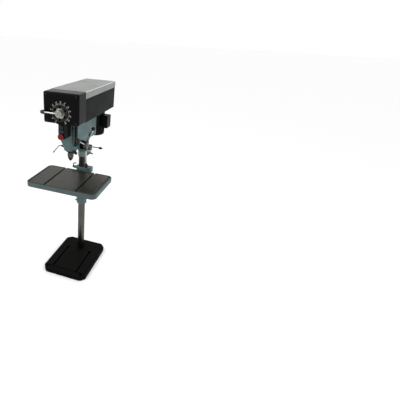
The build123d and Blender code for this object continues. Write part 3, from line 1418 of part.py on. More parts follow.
def make_bezel_screws():
    height = LID_TOP_Z - HEAD_TOP_Z
    half = GUARD_HALF + LID_CLEAR + LID_SHEET
    with BuildPart() as screws:
        with BuildSketch(plane_front(BEZEL_FRONT + BEZEL_WALL + 8, 0, HEAD_TOP_Z + height / 2)):
            with GridLocations(2 * half - 50, height - 40, 2, 2):
                Circle(3)
        extrude(amount=BEZEL_WALL + 8)
        with BuildSketch(plane_front(BEZEL_FRONT, 0, HEAD_TOP_Z + height / 2)):
            with GridLocations(2 * half - 50, height - 40, 2, 2):
                Circle(6.5)
        extrude(amount=3)
        with BuildSketch(plane_front(BEZEL_FRONT - 3, 0, HEAD_TOP_Z + height / 2)):
            with GridLocations(2 * half - 50, height - 40, 2, 2):
                Rectangle(14, 1.6)
        extrude(amount=-1.2, mode=Mode.SUBTRACT)
    return screws


def make_speed_ring():
    """Fixed ring round the dial that carries the speed scale."""
    with BuildPart() as scale:
        with BuildSketch(plane_front(BEZEL_FRONT, 0, DIAL_Z)):
            Circle(RING_R)
            Circle(RING_HOLE_R, mode=Mode.SUBTRACT)
        extrude(amount=RING_T)
        chamfer(scale.faces().sort_by(Axis.Y)[0].edges(), 1.2)
    return scale


def make_speed_dial():
    """Spoked dial with its hub and the shaft that runs in the bezel."""
    back = BEZEL_FRONT - RING_T - GAP
    with BuildPart() as dial:
        with BuildSketch(plane_front(back, 0, DIAL_Z)):
            Circle(DIAL_R)
            with PolarLocations(DIAL_R - 19, 6, start_angle=30):
                Circle(11, mode=Mode.SUBTRACT)
        extrude(amount=DIAL_T)
        fillet(dial.faces().sort_by(Axis.Y)[0].outer_wire().edges(), 4)
        with BuildSketch(plane_front(back, 0, DIAL_Z)):
            Circle(DIAL_HUB_R)
        extrude(amount=DIAL_HUB_L)
        fillet(dial.faces().sort_by(Axis.Y)[0].edges(), 5)
        with BuildSketch(plane_front(back + 52, 0, DIAL_Z)):
            Circle(DIAL_SHAFT_R)
        extrude(amount=54)
        with BuildSketch(plane_x(-DIAL_HUB_R - 4, back - DIAL_HUB_L + 14, DIAL_Z)):
            Circle(HANDLE_ROD_R + FIT)
        extrude(amount=18, mode=Mode.SUBTRACT)
    return dial


def make_speed_crank():
    """Crank rod screwed into the dial's hub, with its black grip."""
    rod_y = BEZEL_FRONT - RING_T - GAP - DIAL_HUB_L + 14
    with BuildPart() as crank:
        with BuildSketch(plane_x(-DIAL_HUB_R + 14 - FIT, rod_y, DIAL_Z)):
            Circle(HANDLE_ROD_R)
        extrude(amount=-(CRANK_R - DIAL_HUB_R))
        with BuildSketch(Plane(origin=(-CRANK_R + 16, rod_y, DIAL_Z), x_dir=(1, 0, 0), z_dir=(0, -1, 0))):
            with BuildLine():
                Polyline((0, 0), (0, 9), (-4, 14))
                Spline((-4, 14), (-22, 16), (-36, 0), tangents=((-1, 0.3), (0, -1)))
                Line((-36, 0), (0, 0))
            make_face()
        revolve(axis=Axis((0, rod_y, DIAL_Z), (1, 0, 0)))
    return crank


# ------------------------------------------------------------------ switch box

def make_switch_box():
    depth = HEAD_FRONT - SWITCH_FRONT
    height = SWITCH_Z1 - SWITCH_Z0
    mid_z = (SWITCH_Z0 + SWITCH_Z1) / 2
    with BuildPart() as box:
        with BuildSketch(plane_front(HEAD_FRONT, 0, mid_z)):
            RectangleRounded(SWITCH_W, height, 6)
        extrude(amount=depth)
        fillet(box.faces().sort_by(Axis.Y)[0].edges(), 4)
        with BuildSketch(plane_front(HEAD_FRONT, 0, mid_z)):
            RectangleRounded(SWITCH_W - 2 * SWITCH_WALL, height - 2 * SWITCH_WALL, 4)
        extrude(amount=depth - SWITCH_WALL, mode=Mode.SUBTRACT)
        with BuildSketch(plane_front(HEAD_FRONT, 0, 0)):
            with Locations((0, LAMP_Z)):
                Circle(8 + FIT)
            with Locations((0, START_Z)):
                Rectangle(34 + 2 * GAP, 16 + 2 * GAP)
            with Locations((0, STOP_Z)):
                Circle(8 + GAP)
        extrude(amount=depth + 1, mode=Mode.SUBTRACT)
    return box


def make_pilot_lamp():
    with BuildPart() as lamp:
        with BuildSketch(plane_front(SWITCH_FRONT, 0, LAMP_Z)):
            Circle(LAMP_R - 4)
        extrude(amount=9)
        fillet(lamp.faces().sort_by(Axis.Y)[0].edges(), 3)
        with BuildSketch(plane_front(SWITCH_FRONT + 12, 0, LAMP_Z)):
            Circle(8)
        extrude(amount=26)
        fillet(lamp.faces().sort_by(Axis.Y)[0].edges(), 4)
    return lamp


def make_start_button():
    with BuildPart() as button:
        with BuildSketch(plane_front(SWITCH_FRONT + SWITCH_WALL + 2 * BUTTON_TRAVEL, 0, START_Z)):
            Rectangle(34, 16)
        extrude(amount=SWITCH_WALL + 3 * BUTTON_TRAVEL + 2)
        with BuildSketch(plane_front(SWITCH_FRONT - BUTTON_TRAVEL - 1, 0, START_Z)):
            RectangleRounded(44, 24, 4)
        extrude(amount=7)
        fillet(button.faces().sort_by(Axis.Y)[0].edges(), 2)
    return button


def make_stop_button():
    with BuildPart() as button:
        with BuildSketch(plane_front(SWITCH_FRONT + SWITCH_WALL + 2 * BUTTON_TRAVEL, 0, STOP_Z)):
            Circle(8)
        extrude(amount=SWITCH_WALL + 3 * BUTTON_TRAVEL + 2)
        with BuildSketch(Plane(origin=(0, SWITCH_FRONT - BUTTON_TRAVEL - 1, STOP_Z), x_dir=(1, 0, 0), z_dir=(0, 0, 1))):
            with BuildLine():
                Polyline((0, 0), (16, 0), (17, -6), (25, -9))
                Spline((25, -9), (21, -19), (0, -24), tangents=((0.1, -1), (-1, 0)))
                Line((0, -24), (0, 0))
            make_face()
        revolve(axis=Axis((0, 0, STOP_Z), (0, 1, 0)))
    return button


def main():
    os.makedirs("parts", exist_ok=True)
    save(make_base(), "base")
    save(make_column(), "column")
    save(make_set_screws(), "set_screws")
    save(make_head_collar(), "head_collar")
    save(make_table_collar(), "table_collar")
    save(make_table_collar_screw(), "table_collar_screw")
    save(make_table_bracket(), "table_bracket")
    save(make_table_top(), "table_top")
    save(make_table_bolts(), "table_bolts")
    save(make_table_clamp_handle(), "table_clamp_handle")
    save(make_head_casting(), "head_casting")
    save(make_head_clamp_lever(), "head_clamp_lever")
    save(make_quill_lock(), "quill_lock_lever")
    save(make_quill(), "quill")
    save(make_quill_bearings(), "quill_bearings")
    save(make_stop_collar(), "stop_collar")
    save(make_depth_rod(), "depth_rod")
    save(make_depth_nuts(), "depth_nuts")
    save(make_feed_shaft(), "feed_pinion_shaft")
    save(make_spring_housing(), "spring_housing")
    save(make_return_spring(), "return_spring")
    save(make_feed_hub(), "feed_hub")
    save(make_feed_rods(), "feed_handle_rods")
    save(make_feed_knobs(), "feed_knobs")
    save(make_spindle(), "spindle")
    save(make_drive_sleeve(), "drive_sleeve")
    save(make_sleeve_bearings(), "sleeve_bearings")
    save(make_chuck_body(), "chuck_body")
    save(make_chuck_sleeve(), "chuck_sleeve")
    for k in range(JAW_COUNT):
        save(make_jaw(k), f"chuck_jaw_{k + 1}")
    save(make_motor_shell(), "motor_shell")
    save(make_motor_bells(), "motor_end_bells")
    save(make_motor_stator(), "motor_stator")
    save(make_motor_rotor(), "motor_rotor")
    save(make_motor_bearings(), "motor_bearings")
    save(make_motor_plate(), "motor_plate")
    save(make_motor_bolts(), "motor_bolts")
    save(make_motor_box(), "motor_terminal_box")
    save(make_cord_bushing(), "cord_bushing")
    save(make_flange(SPINDLE_Y, SPINDLE_SHEAVE_R, SLEEVE_R + FIT, SPINDLE_PITCH_R, -1), "spindle_sheave_lower")
    save(make_flange(SPINDLE_Y, SPINDLE_SHEAVE_R, SLEEVE_R + FIT, SPINDLE_PITCH_R, 1), "spindle_sheave_upper")
    save(make_flange(MOTOR_Y, MOTOR_SHEAVE_R, MOTOR_SHAFT_R - 1 + FIT, MOTOR_PITCH_R, -1), "motor_sheave_lower")
    save(make_flange(MOTOR_Y, MOTOR_SHEAVE_R, MOTOR_SHAFT_R - 1 + FIT, MOTOR_PITCH_R, 1), "motor_sheave_upper")
    save(make_sheave_spring(), "sheave_spring")
    save(make_drive_belt(), "drive_belt")
    save(make_guard_tray(), "guard_tray")
    save(make_guard_shell(), "guard_shell")
    save(make_lid(), "guard_lid")
    save(make_lid_pin(), "lid_hinge_pin")
    save(make_front_bezel(), "front_bezel")
    save(make_bezel_screws(), "bezel_screws")
    save(make_speed_ring(), "speed_scale_ring")
    save(make_speed_dial(), "speed_dial")
    save(make_speed_crank(), "speed_crank")
    save(make_switch_box(), "switch_box")
    save(make_pilot_lamp(), "pilot_lamp")
    save(make_start_button(), "start_button")
    save(make_stop_button(), "stop_button")


main()
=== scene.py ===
# %% [markdown]
# # A floor-standing drill press
# The machine's solids come ready made from a CAD file, in metres, and stand where they belong.
# This lesson gives each of them its finish, adds the small pieces that a CAD file leaves out,
# and sets up the floor, the lights and the camera.

# %% Load the frame
import json
import math

import bmesh
import bpy
import numpy as np
from mathutils import Matrix, Vector


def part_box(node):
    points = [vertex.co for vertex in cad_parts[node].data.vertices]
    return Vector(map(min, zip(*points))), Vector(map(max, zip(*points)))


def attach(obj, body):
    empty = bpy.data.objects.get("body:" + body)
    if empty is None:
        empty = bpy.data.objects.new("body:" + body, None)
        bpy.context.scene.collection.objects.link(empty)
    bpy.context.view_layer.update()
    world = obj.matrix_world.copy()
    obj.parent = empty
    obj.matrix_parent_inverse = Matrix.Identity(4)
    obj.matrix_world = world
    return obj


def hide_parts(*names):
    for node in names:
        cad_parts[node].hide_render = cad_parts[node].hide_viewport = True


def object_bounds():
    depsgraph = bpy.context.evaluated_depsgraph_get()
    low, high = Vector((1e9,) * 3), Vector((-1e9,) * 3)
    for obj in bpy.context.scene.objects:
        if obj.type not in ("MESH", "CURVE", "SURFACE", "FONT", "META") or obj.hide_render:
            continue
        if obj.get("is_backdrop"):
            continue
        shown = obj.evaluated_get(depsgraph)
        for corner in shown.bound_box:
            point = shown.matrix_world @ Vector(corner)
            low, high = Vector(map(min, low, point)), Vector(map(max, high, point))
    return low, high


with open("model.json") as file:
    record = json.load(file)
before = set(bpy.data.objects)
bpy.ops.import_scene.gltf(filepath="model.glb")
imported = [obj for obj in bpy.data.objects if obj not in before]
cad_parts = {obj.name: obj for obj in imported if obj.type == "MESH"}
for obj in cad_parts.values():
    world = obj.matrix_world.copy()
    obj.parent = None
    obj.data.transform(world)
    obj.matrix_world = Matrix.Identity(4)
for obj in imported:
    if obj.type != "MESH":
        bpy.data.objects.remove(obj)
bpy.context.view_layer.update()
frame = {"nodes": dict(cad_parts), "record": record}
nodes = frame["nodes"]
joints = {joint["name"]: joint for joint in frame["record"]["behaviour"]["joints"]}


def corners(name):
    """The low and the high corner of the box round a solid, in metres."""
    return [np.array(corner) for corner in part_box(name)]


# %% [markdown]
# ## Colour values
# Blender's shaders want linear light, and people name colours as screen values from 0 to 255.
# One small function turns the second into the first, so every finish below can be read.


# %% Screen colour to linear colour
def screen(red, green, blue):
    """Each channel c becomes c/12.92 below 0.04045 and ((c + 0.055)/1.055)^2.4 above it."""
    c = np.array([red, green, blue]) / 255
    linear = np.where(c <= 0.04045, c / 12.92, ((c + 0.055) / 1.055) ** 2.4)
    return (*linear.tolist(), 1.0)


print("mid grey is", screen(128, 128, 128)[0])

# %% [markdown]
# ## Effects that many finishes share
# Edge wear, casting grain, machining lines and dust appear on most of the metal.
# Each one is a node group with named inputs and outputs, made once and placed in each material.
# A group hands out only a mask, which the material then uses for colour, roughness or bump.


# %% Start a node group
def new_group(name, inputs, output="Mask"):
    """A node group with a vector input, number inputs with defaults, and one number output."""
    tree = bpy.data.node_groups.new(name, "ShaderNodeTree")
    tree.interface.new_socket("Vector", in_out="INPUT", socket_type="NodeSocketVector")
    for label, value in inputs.items():
        socket = tree.interface.new_socket(label, in_out="INPUT", socket_type="NodeSocketFloat")
        socket.default_value = value
    tree.interface.new_socket(output, in_out="OUTPUT", socket_type="NodeSocketFloat")
    return tree, tree.nodes.new("NodeGroupInput"), tree.nodes.new("NodeGroupOutput")


def math_node(tree, operation, first, second, clamp=False):
    """A Math node whose two inputs are either links or plain numbers."""
    node = tree.nodes.new("ShaderNodeMath")
    node.operation = operation
    node.use_clamp = clamp
    for socket, value in zip(node.inputs, (first, second)):
        if isinstance(value, bpy.types.NodeSocket):
            tree.links.new(value, socket)
        else:
            socket.default_value = value
    return node.outputs[0]


print("ready to build node groups with", new_group.__name__, "and", math_node.__name__)

# %% [markdown]
# Paint rubs off a machine first where two faces meet. The Bevel node returns the normal that
# a rounded edge would have, so one minus its dot product with the true normal is only large
# close to an edge. A noise breaks the band up, so the wear is patchy.

# %% Edge wear
BEVEL_SAMPLES, PATCH_FROM, PATCH_GAIN = 4, 0.42, 5.0
edge_wear, g_in, g_out = new_group("edge wear", {"Radius": 0.003, "Gain": 6.0, "Patch Scale": 60.0})
rounded = edge_wear.nodes.new("ShaderNodeBevel")
rounded.samples = BEVEL_SAMPLES
geometry = edge_wear.nodes.new("ShaderNodeNewGeometry")
alike = edge_wear.nodes.new("ShaderNodeVectorMath")
alike.operation = "DOT_PRODUCT"
patches = edge_wear.nodes.new("ShaderNodeTexNoise")
patches.inputs["Detail"].default_value = 5.0
link = edge_wear.links.new
link(g_in.outputs["Radius"], rounded.inputs["Radius"])
link(rounded.outputs[0], alike.inputs[0])
link(geometry.outputs["Normal"], alike.inputs[1])
link(g_in.outputs["Vector"], patches.inputs["Vector"])
link(g_in.outputs["Patch Scale"], patches.inputs["Scale"])
edge = math_node(edge_wear, "SUBTRACT", 1.0, alike.outputs["Value"])
edge = math_node(edge_wear, "MULTIPLY", edge, g_in.outputs["Gain"])
patchy = math_node(edge_wear, "SUBTRACT", patches.outputs["Fac"], PATCH_FROM)
patchy = math_node(edge_wear, "MULTIPLY", patchy, PATCH_GAIN, clamp=True)
link(math_node(edge_wear, "MULTIPLY", edge, patchy, clamp=True), g_out.inputs[0])
print("made the group", edge_wear.name)

# %% [markdown]
# A sand casting keeps the grain of the sand under its paint. It could be sculpted or painted as a
# height map, but a fine noise added to a broad one gives the same skin at any scale, with no
# image file. The broad part makes the flat faces wavy, as filled and sanded castings are.

# %% Casting grain
WAVE_SCALE = 14.0
cast_grain, g_in, g_out = new_group("casting grain", {"Scale": 400.0, "Coarse": 0.5})
fine = cast_grain.nodes.new("ShaderNodeTexNoise")
fine.inputs["Detail"].default_value = 3.0
broad = cast_grain.nodes.new("ShaderNodeTexNoise")
broad.inputs["Scale"].default_value = WAVE_SCALE
link = cast_grain.links.new
for noise in (fine, broad):
    link(g_in.outputs["Vector"], noise.inputs["Vector"])
link(g_in.outputs["Scale"], fine.inputs["Scale"])
waves = math_node(cast_grain, "MULTIPLY", broad.outputs["Fac"], g_in.outputs["Coarse"])
link(math_node(cast_grain, "ADD", fine.outputs["Fac"], waves), g_out.inputs[0])
print("made the group", cast_grain.name)

# %% [markdown]
# A lathe or a grinder leaves fine lines. A noise that is squeezed a hundred times along one
# direction gives lines square to it, and the mapping vector chooses the direction.

# %% Machining lines
MIDDLE = 0.5
tool_lines, g_in, g_out = new_group("machining lines", {"Scale": 1.0, "Contrast": 1.6})
streaks = tool_lines.nodes.new("ShaderNodeTexNoise")
streaks.inputs["Detail"].default_value = 4.0
link = tool_lines.links.new
link(g_in.outputs["Vector"], streaks.inputs["Vector"])
link(g_in.outputs["Scale"], streaks.inputs["Scale"])
spread = math_node(tool_lines, "SUBTRACT", streaks.outputs["Fac"], MIDDLE)
spread = math_node(tool_lines, "MULTIPLY", spread, g_in.outputs["Contrast"])
link(math_node(tool_lines, "ADD", spread, MIDDLE, clamp=True), g_out.inputs[0])
print("made the group", tool_lines.name)

# %% [markdown]
# Workshop dust settles only on faces that look up. Hand painting it would have to be done again
# for every piece, so the mask takes the normal's Z, keeps what is above 0.35, and breaks it
# up with a cloudy noise.

# %% Dust on the faces that look up
STEEPEST = 0.35
settled_dust, g_in, g_out = new_group("settled dust", {"Scale": 9.0, "Amount": 0.5})
facing = settled_dust.nodes.new("ShaderNodeNewGeometry")
parts_of = settled_dust.nodes.new("ShaderNodeSeparateXYZ")
cloud = settled_dust.nodes.new("ShaderNodeTexNoise")
cloud.inputs["Detail"].default_value = 6.0
link = settled_dust.links.new
link(facing.outputs["Normal"], parts_of.inputs[0])
link(g_in.outputs["Vector"], cloud.inputs["Vector"])
link(g_in.outputs["Scale"], cloud.inputs["Scale"])
upward = math_node(settled_dust, "SUBTRACT", parts_of.outputs["Z"], STEEPEST, clamp=True)
upward = math_node(settled_dust, "MULTIPLY", upward, g_in.outputs["Amount"])
link(math_node(settled_dust, "MULTIPLY", upward, cloud.outputs["Fac"], clamp=True), g_out.inputs[0])
print("groups:", [group.name for group in bpy.data.node_groups])

# %% [markdown]
# ## A material from those effects
# Three small helpers come first: one sets a shared effect into a material, one mixes two colours
# by a mask and one spreads a mask over a range of numbers. Each could be written out in every
# material, but the mixing would then hide what a material is about.


# %% Place an effect, mix and spread
def place_group(tree, group, vector, **values):
    """A shared effect in this material; Patch_Scale=9 sets the input called Patch Scale."""
    node = tree.nodes.new("ShaderNodeGroup")
    node.node_tree = group
    tree.links.new(vector, node.inputs["Vector"])
    for label, value in values.items():
        node.inputs[label.replace("_", " ")].default_value = value
    return node.outputs[0]


def mix_colour(tree, mask, first, second):
    """first where the mask is 0 and second where it is 1, as a Mix node on colours."""
    node = tree.nodes.new("ShaderNodeMix")
    node.data_type = "RGBA"
    tree.links.new(mask, node.inputs[0])
    for socket, value in ((node.inputs[6], first), (node.inputs[7], second)):
        if isinstance(value, bpy.types.NodeSocket):
            tree.links.new(value, socket)
        else:
            socket.default_value = value
    return node.outputs[2]


def spread_value(tree, mask, low, high):
    """low where the mask is 0 and high where it is 1."""
    node = tree.nodes.new("ShaderNodeMapRange")
    tree.links.new(mask, node.inputs["Value"])
    node.inputs["To Min"].default_value = low
    node.inputs["To Max"].default_value = high
    return node.outputs[0]


print("ready to mix with", mix_colour.__name__, "and", spread_value.__name__)

# %% [markdown]
# Every finish on the machine is a base colour that drifts a little, a second colour where it
# has worn, a roughness that follows the same pattern, and a bump as deep as its grain.
# One function builds that, and a finish is then a single readable call.

# %% Build a finish
DRIFT_SCALE, BUMP_STRENGTH, COAT_ROUGH = 7.0, 0.6, 0.12
DUST_COLOUR = screen(150, 148, 140)


def finish(name, base, shade, worn=None, rough=(0.35, 0.5), metal=0.0, stretch=(1, 1, 1), lines=None,
           grain=400.0, depth=0.0002, wear=5.0, dust=0.0, soft=0.0015, coat=0.0, specular=0.5):
    """base drifts to shade, and worn shows at the edges. Lengths are in metres."""
    material = bpy.data.materials.new(name)
    material.use_nodes = True
    tree = material.node_tree
    shader = tree.nodes["Principled BSDF"]
    shader.inputs["Metallic"].default_value = metal
    shader.inputs["Coat Weight"].default_value = coat
    shader.inputs["Coat Roughness"].default_value = COAT_ROUGH
    shader.inputs["Specular IOR Level"].default_value = specular
    place = tree.nodes.new("ShaderNodeTexCoord").outputs["Object"]
    along = tree.nodes.new("ShaderNodeMapping")
    along.inputs["Scale"].default_value = stretch
    tree.links.new(place, along.inputs["Vector"])
    if lines:
        pattern = place_group(tree, tool_lines, along.outputs[0], Scale=lines)
    else:
        pattern = place_group(tree, cast_grain, along.outputs[0], Scale=grain)
    drift = tree.nodes.new("ShaderNodeTexNoise")
    drift.inputs["Scale"].default_value = DRIFT_SCALE
    drift.inputs["Detail"].default_value = 5.0
    tree.links.new(place, drift.inputs["Vector"])
    both = math_node(tree, "MULTIPLY", pattern, drift.outputs["Fac"])
    colour = mix_colour(tree, spread_value(tree, both, -0.2, 1.5), base, shade)
    roughness = spread_value(tree, both, rough[0], rough[1] + 0.25 * (rough[1] - rough[0]))
    if worn:
        mask = place_group(tree, edge_wear, place, Gain=wear)
        colour = mix_colour(tree, mask, colour, worn)
    if dust:
        mask = place_group(tree, settled_dust, place, Amount=dust)
        colour = mix_colour(tree, mask, colour, DUST_COLOUR)
    tree.links.new(colour, shader.inputs["Base Color"])
    tree.links.new(roughness, shader.inputs["Roughness"])
    bump = tree.nodes.new("ShaderNodeBump")
    bump.inputs["Strength"].default_value = BUMP_STRENGTH
    bump.inputs["Distance"].default_value = depth
    tree.links.new(pattern, bump.inputs["Height"])
    if soft:
        eased = tree.nodes.new("ShaderNodeBevel")
        eased.samples = BEVEL_SAMPLES
        eased.inputs["Radius"].default_value = soft
        tree.links.new(eased.outputs[0], bump.inputs["Normal"])
    tree.links.new(bump.outputs[0], shader.inputs["Normal"])
    return material


print("ready to build materials with", finish.__name__)

# %% [markdown]
# ## The enamels
# The castings wear a blue-grey machine enamel, thin enough to show the grain of the sand through.
# The belt guard and the front are darker and smoother, the lid is a pale grey, and the motor and
# the base are black. Dark paint needs a weak reflection too, or a white sky makes it look grey.

# %% Painted metal
bare = screen(120, 118, 112)
casting_blue = finish("casting enamel", screen(80, 101, 103), screen(62, 83, 84), bare, (0.32, 0.48),
                      grain=260, depth=0.0005, wear=3, dust=0.04, soft=0.004, coat=0.06, specular=0.15)
motor_black = finish("motor enamel", screen(7, 9, 8), screen(4, 5, 4), screen(34, 34, 33), (0.36, 0.5),
                     grain=300, depth=0.0003, wear=3, soft=0.002, specular=0.08)
base_black = finish("base enamel", screen(10, 11, 10), screen(5, 6, 5), screen(34, 33, 30), (0.48, 0.64),
                    grain=220, depth=0.0006, wear=3, dust=0.02, soft=0.003, specular=0.02)
guard_green = finish("guard enamel", screen(18, 23, 21), screen(12, 16, 15), screen(54, 54, 51), (0.38, 0.5),
                     grain=500, depth=0.00008, wear=3, soft=0.0012, specular=0.03)
front_black = finish("front enamel", screen(5, 6, 5), screen(3, 3, 3), screen(30, 30, 29), (0.26, 0.38),
                     grain=600, depth=0.00008, wear=2, soft=0.003, specular=0.07)
lid_grey = finish("lid enamel", screen(121, 123, 121), screen(109, 111, 109), screen(196, 197, 194),
                  (0.3, 0.42), grain=500, depth=0.00008, wear=5, soft=0.002, specular=0.3)
collar_grey = finish("collar enamel", screen(124, 134, 131), screen(100, 110, 108), bare, (0.3, 0.42),
                     grain=300, depth=0.0003, wear=3, soft=0.002, specular=0.25)
print("enamels end with", collar_grey.name)

# %% [markdown]
# ## The bare metals
# The column is ground round, so its lines run round it and the noise is squeezed along Z.
# The chuck and the hub have such lines round their own axes. Blackened steel shows worn edges,
# and the rods and the crank are bright, with fine lines only.

# %% Bare metal
column_steel = finish("column steel", screen(88, 88, 82), screen(50, 50, 47), None, (0.2, 0.36), 1.0,
                      (6, 6, 900), lines=1.0, depth=0.00003, soft=0)
bright_steel = finish("bright steel", screen(182, 183, 182), screen(140, 141, 140), None, (0.14, 0.3), 1.0,
                      (60, 60, 500), lines=1.0, depth=0.00002, soft=0.0008)
chuck_plate = finish("chuck plate", screen(80, 81, 79), screen(38, 39, 38), None, (0.1, 0.24), 1.0,
                     (40, 40, 500), lines=1.0, depth=0.00002, soft=0.001)
dial_plate = finish("dial plate", screen(168, 168, 162), screen(66, 66, 63), None, (0.08, 0.22), 1.0,
                    (60, 60, 60), lines=1.0, depth=0.00002, soft=0.001)
black_steel = finish("blackened steel", screen(36, 36, 35), screen(20, 20, 20), screen(104, 101, 96),
                     (0.3, 0.5), 0.9, grain=500, depth=0.0001, wear=4, soft=0.0012)
hub_steel = finish("hub steel", screen(76, 78, 76), screen(52, 54, 53), screen(130, 130, 128), (0.2, 0.36),
                   0.9, (500, 40, 40), lines=1.0, depth=0.00003, wear=3, soft=0.002)
aluminium = finish("turned aluminium", screen(176, 178, 180), screen(150, 152, 154), None, (0.25, 0.4), 1.0,
                   (30, 30, 700), lines=1.0, depth=0.00004, soft=0.001)
core_iron = finish("laminated iron", screen(80, 76, 72), screen(50, 47, 44), None, (0.4, 0.6), 0.8,
                   (4, 4, 1400), lines=1.0, depth=0.0002, soft=0)
print("metals end with", core_iron.name)

# %% [markdown]
# ## Plastic and rubber
# The knobs are moulded phenolic with a hard shine, the buttons are duller, and the switch box, the
# belt and the cord's bushing are nearly black. Plastic has no metallic value, so these differ only
# in colour, in roughness and in how strongly they reflect.

# %% Plastic and rubber
knob_black = finish("black phenolic", screen(10, 10, 10), screen(5, 5, 5), screen(44, 42, 40), (0.1, 0.22),
                    grain=90, depth=0.00004, wear=2, soft=0.001, specular=0.3)
stop_red = finish("stop button", screen(118, 22, 26), screen(90, 15, 18), screen(130, 60, 58), (0.24, 0.36),
                  grain=90, depth=0.00005, wear=2, soft=0.001, specular=0.12)
lamp_red = finish("lamp lens", screen(40, 18, 15), screen(24, 11, 9), None, (0.1, 0.22),
                  grain=150, depth=0.00003, soft=0.001, specular=0.25)
teal_gloss = finish("teal button", screen(15, 55, 61), screen(10, 40, 45), screen(60, 90, 92), (0.2, 0.32),
                    grain=150, depth=0.00004, wear=2, soft=0.001, specular=0.15)
black_mould = finish("moulded black", screen(12, 13, 12), screen(7, 7, 7), screen(42, 42, 41), (0.36, 0.52),
                     grain=700, depth=0.0001, wear=3, soft=0.0015, specular=0.1)
black_rubber = finish("black rubber", screen(18, 18, 18), screen(11, 11, 11), screen(40, 40, 40), (0.6, 0.8),
                      grain=900, depth=0.0001, wear=2, soft=0.0015, specular=0.1)
pale_ink = finish("pale markings", screen(214, 214, 206), screen(188, 188, 180), None, (0.4, 0.55),
                  grain=900, depth=0.00002, soft=0)
print(len(bpy.data.materials), "materials")

# %% [markdown]
# ## The table, painted and machined
# A drill press table is painted all over and then planed on top, so one casting shows both.
# A mask picks the faces that look up above the bottom of the coolant trough. Inside it the
# colour, the metallic value and the roughness are those of planed iron, lines and all.


# %% Table finish
def coordinates(tree):
    """The three object coordinates of a material, as separate numbers."""
    node = tree.nodes.new("ShaderNodeSeparateXYZ")
    tree.links.new(tree.nodes.new("ShaderNodeTexCoord").outputs["Object"], node.inputs[0])
    return node.outputs["X"], node.outputs["Y"], node.outputs["Z"]


table_paint = finish("table enamel", screen(75, 87, 87), screen(57, 69, 70), bare, (0.34, 0.5),
                     grain=280, depth=0.0003, wear=4, soft=0.002, specular=0.2)
LOOKS_UP, TROUGH_DEPTH = 0.7, 0.0015
PLANED_ABOVE = corners("table_top")[1][2] - TROUGH_DEPTH
tree = table_paint.node_tree
level = math_node(tree, "GREATER_THAN", coordinates(tree)[2], PLANED_ABOVE)
facing = tree.nodes.new("ShaderNodeSeparateXYZ")
tree.links.new(tree.nodes.new("ShaderNodeNewGeometry").outputs["Normal"], facing.inputs[0])
planed = math_node(tree, "MULTIPLY", level, math_node(tree, "GREATER_THAN", facing.outputs["Z"], LOOKS_UP))
print("planed above", round(PLANED_ABOVE, 4))

# %% [markdown]
# The planed iron itself is dark with oil, in lines that run across the table, with paler blotches.
# It could be a second material on the top faces, but the solid must keep its faces as they are,
# so the mask changes the sockets of the one material.

# %% Planed iron inside the mask
PLANING_STRETCH, PLANING_CONTRAST, BLOTCH_SCALE, IRON_METAL = (4, 300, 1), 1.1, 9.0, 0.7
PAINT_ROUGH, IRON_ROUGH = 0.42, 0.34
place = tree.nodes.new("ShaderNodeTexCoord").outputs["Object"]
along = tree.nodes.new("ShaderNodeMapping")
along.inputs["Scale"].default_value = PLANING_STRETCH
tree.links.new(place, along.inputs["Vector"])
planing = place_group(tree, tool_lines, along.outputs[0], Contrast=PLANING_CONTRAST)
blotch = tree.nodes.new("ShaderNodeTexNoise")
blotch.inputs["Scale"].default_value = BLOTCH_SCALE
blotch.inputs["Detail"].default_value = 6.0
tree.links.new(place, blotch.inputs["Vector"])
iron = mix_colour(tree, planing, screen(53, 52, 45), screen(34, 33, 29))
iron = mix_colour(tree, spread_value(tree, blotch.outputs["Fac"], -0.4, 1.2), iron, screen(66, 64, 58))
shader = tree.nodes["Principled BSDF"]
paint = shader.inputs["Base Color"].links[0].from_socket
tree.links.new(mix_colour(tree, planed, paint, iron), shader.inputs["Base Color"])
tree.links.new(spread_value(tree, planed, 0.0, IRON_METAL), shader.inputs["Metallic"])
tree.links.new(spread_value(tree, planed, PAINT_ROUGH, IRON_ROUGH), shader.inputs["Roughness"])
print(len(tree.nodes), "nodes in", table_paint.name)

# %% [markdown]
# ## Painted shade in the slots and a painted highlight on the fold
# The table's deep slots are made nearly black as painted shade, and the lid's fold gets a pale
# band as a painted highlight. Both are bands at a known place on the piece, so a mask from the
# object's own coordinates picks them, and the paint elsewhere stays as it was.


# %% Bands by place
def all_of(tree, *tests):
    """One where every (operation, value, limit) test is one."""
    mask = 1.0
    for operation, value, limit in tests:
        mask = math_node(tree, "MULTIPLY", math_node(tree, operation, value, limit), mask)
    return mask


def tint(material, mask, colour):
    """Where the mask is one the material takes this colour. Its shader node is returned."""
    tree = material.node_tree
    shader = tree.nodes["Principled BSDF"]
    first = shader.inputs["Base Color"].links[0].from_socket
    tree.links.new(mix_colour(tree, mask, first, colour), shader.inputs["Base Color"])
    return shader


SLOT_X, SLOT_BAND, SLOT_DEPTH, FRONT_RIM, FOLD = 0.147, 0.0145, 0.036, 0.032, 0.0035
tree = table_paint.node_tree
x, y, z = coordinates(tree)
aside = math_node(tree, "SUBTRACT", math_node(tree, "ABSOLUTE", x, 0.0), SLOT_X)
aside = math_node(tree, "ABSOLUTE", aside, 0.0)
slot_front = corners("table_top")[0][1] + FRONT_RIM
painted_slot_shade = all_of(tree, ("LESS_THAN", aside, SLOT_BAND), ("LESS_THAN", z, PLANED_ABOVE),
               ("GREATER_THAN", z, PLANED_ABOVE - SLOT_DEPTH), ("GREATER_THAN", y, slot_front))
# Painted shade: the slots' walls and floor are made nearly black to stand in for the shade inside them.
tint(table_paint, painted_slot_shade, screen(15, 15, 14))
lid_low, lid_high = corners("guard_lid")
tree = lid_grey.node_tree
x, y, z = coordinates(tree)
fold_painted_highlight = all_of(tree, ("GREATER_THAN", math_node(tree, "ABSOLUTE", x, 0.0), lid_high[0] - FOLD),
              ("GREATER_THAN", z, lid_high[2] - FOLD))
# Painted highlight: a pale band along the fold stands in for the light caught by the bend.
tint(lid_grey, fold_painted_highlight, screen(202, 203, 200))
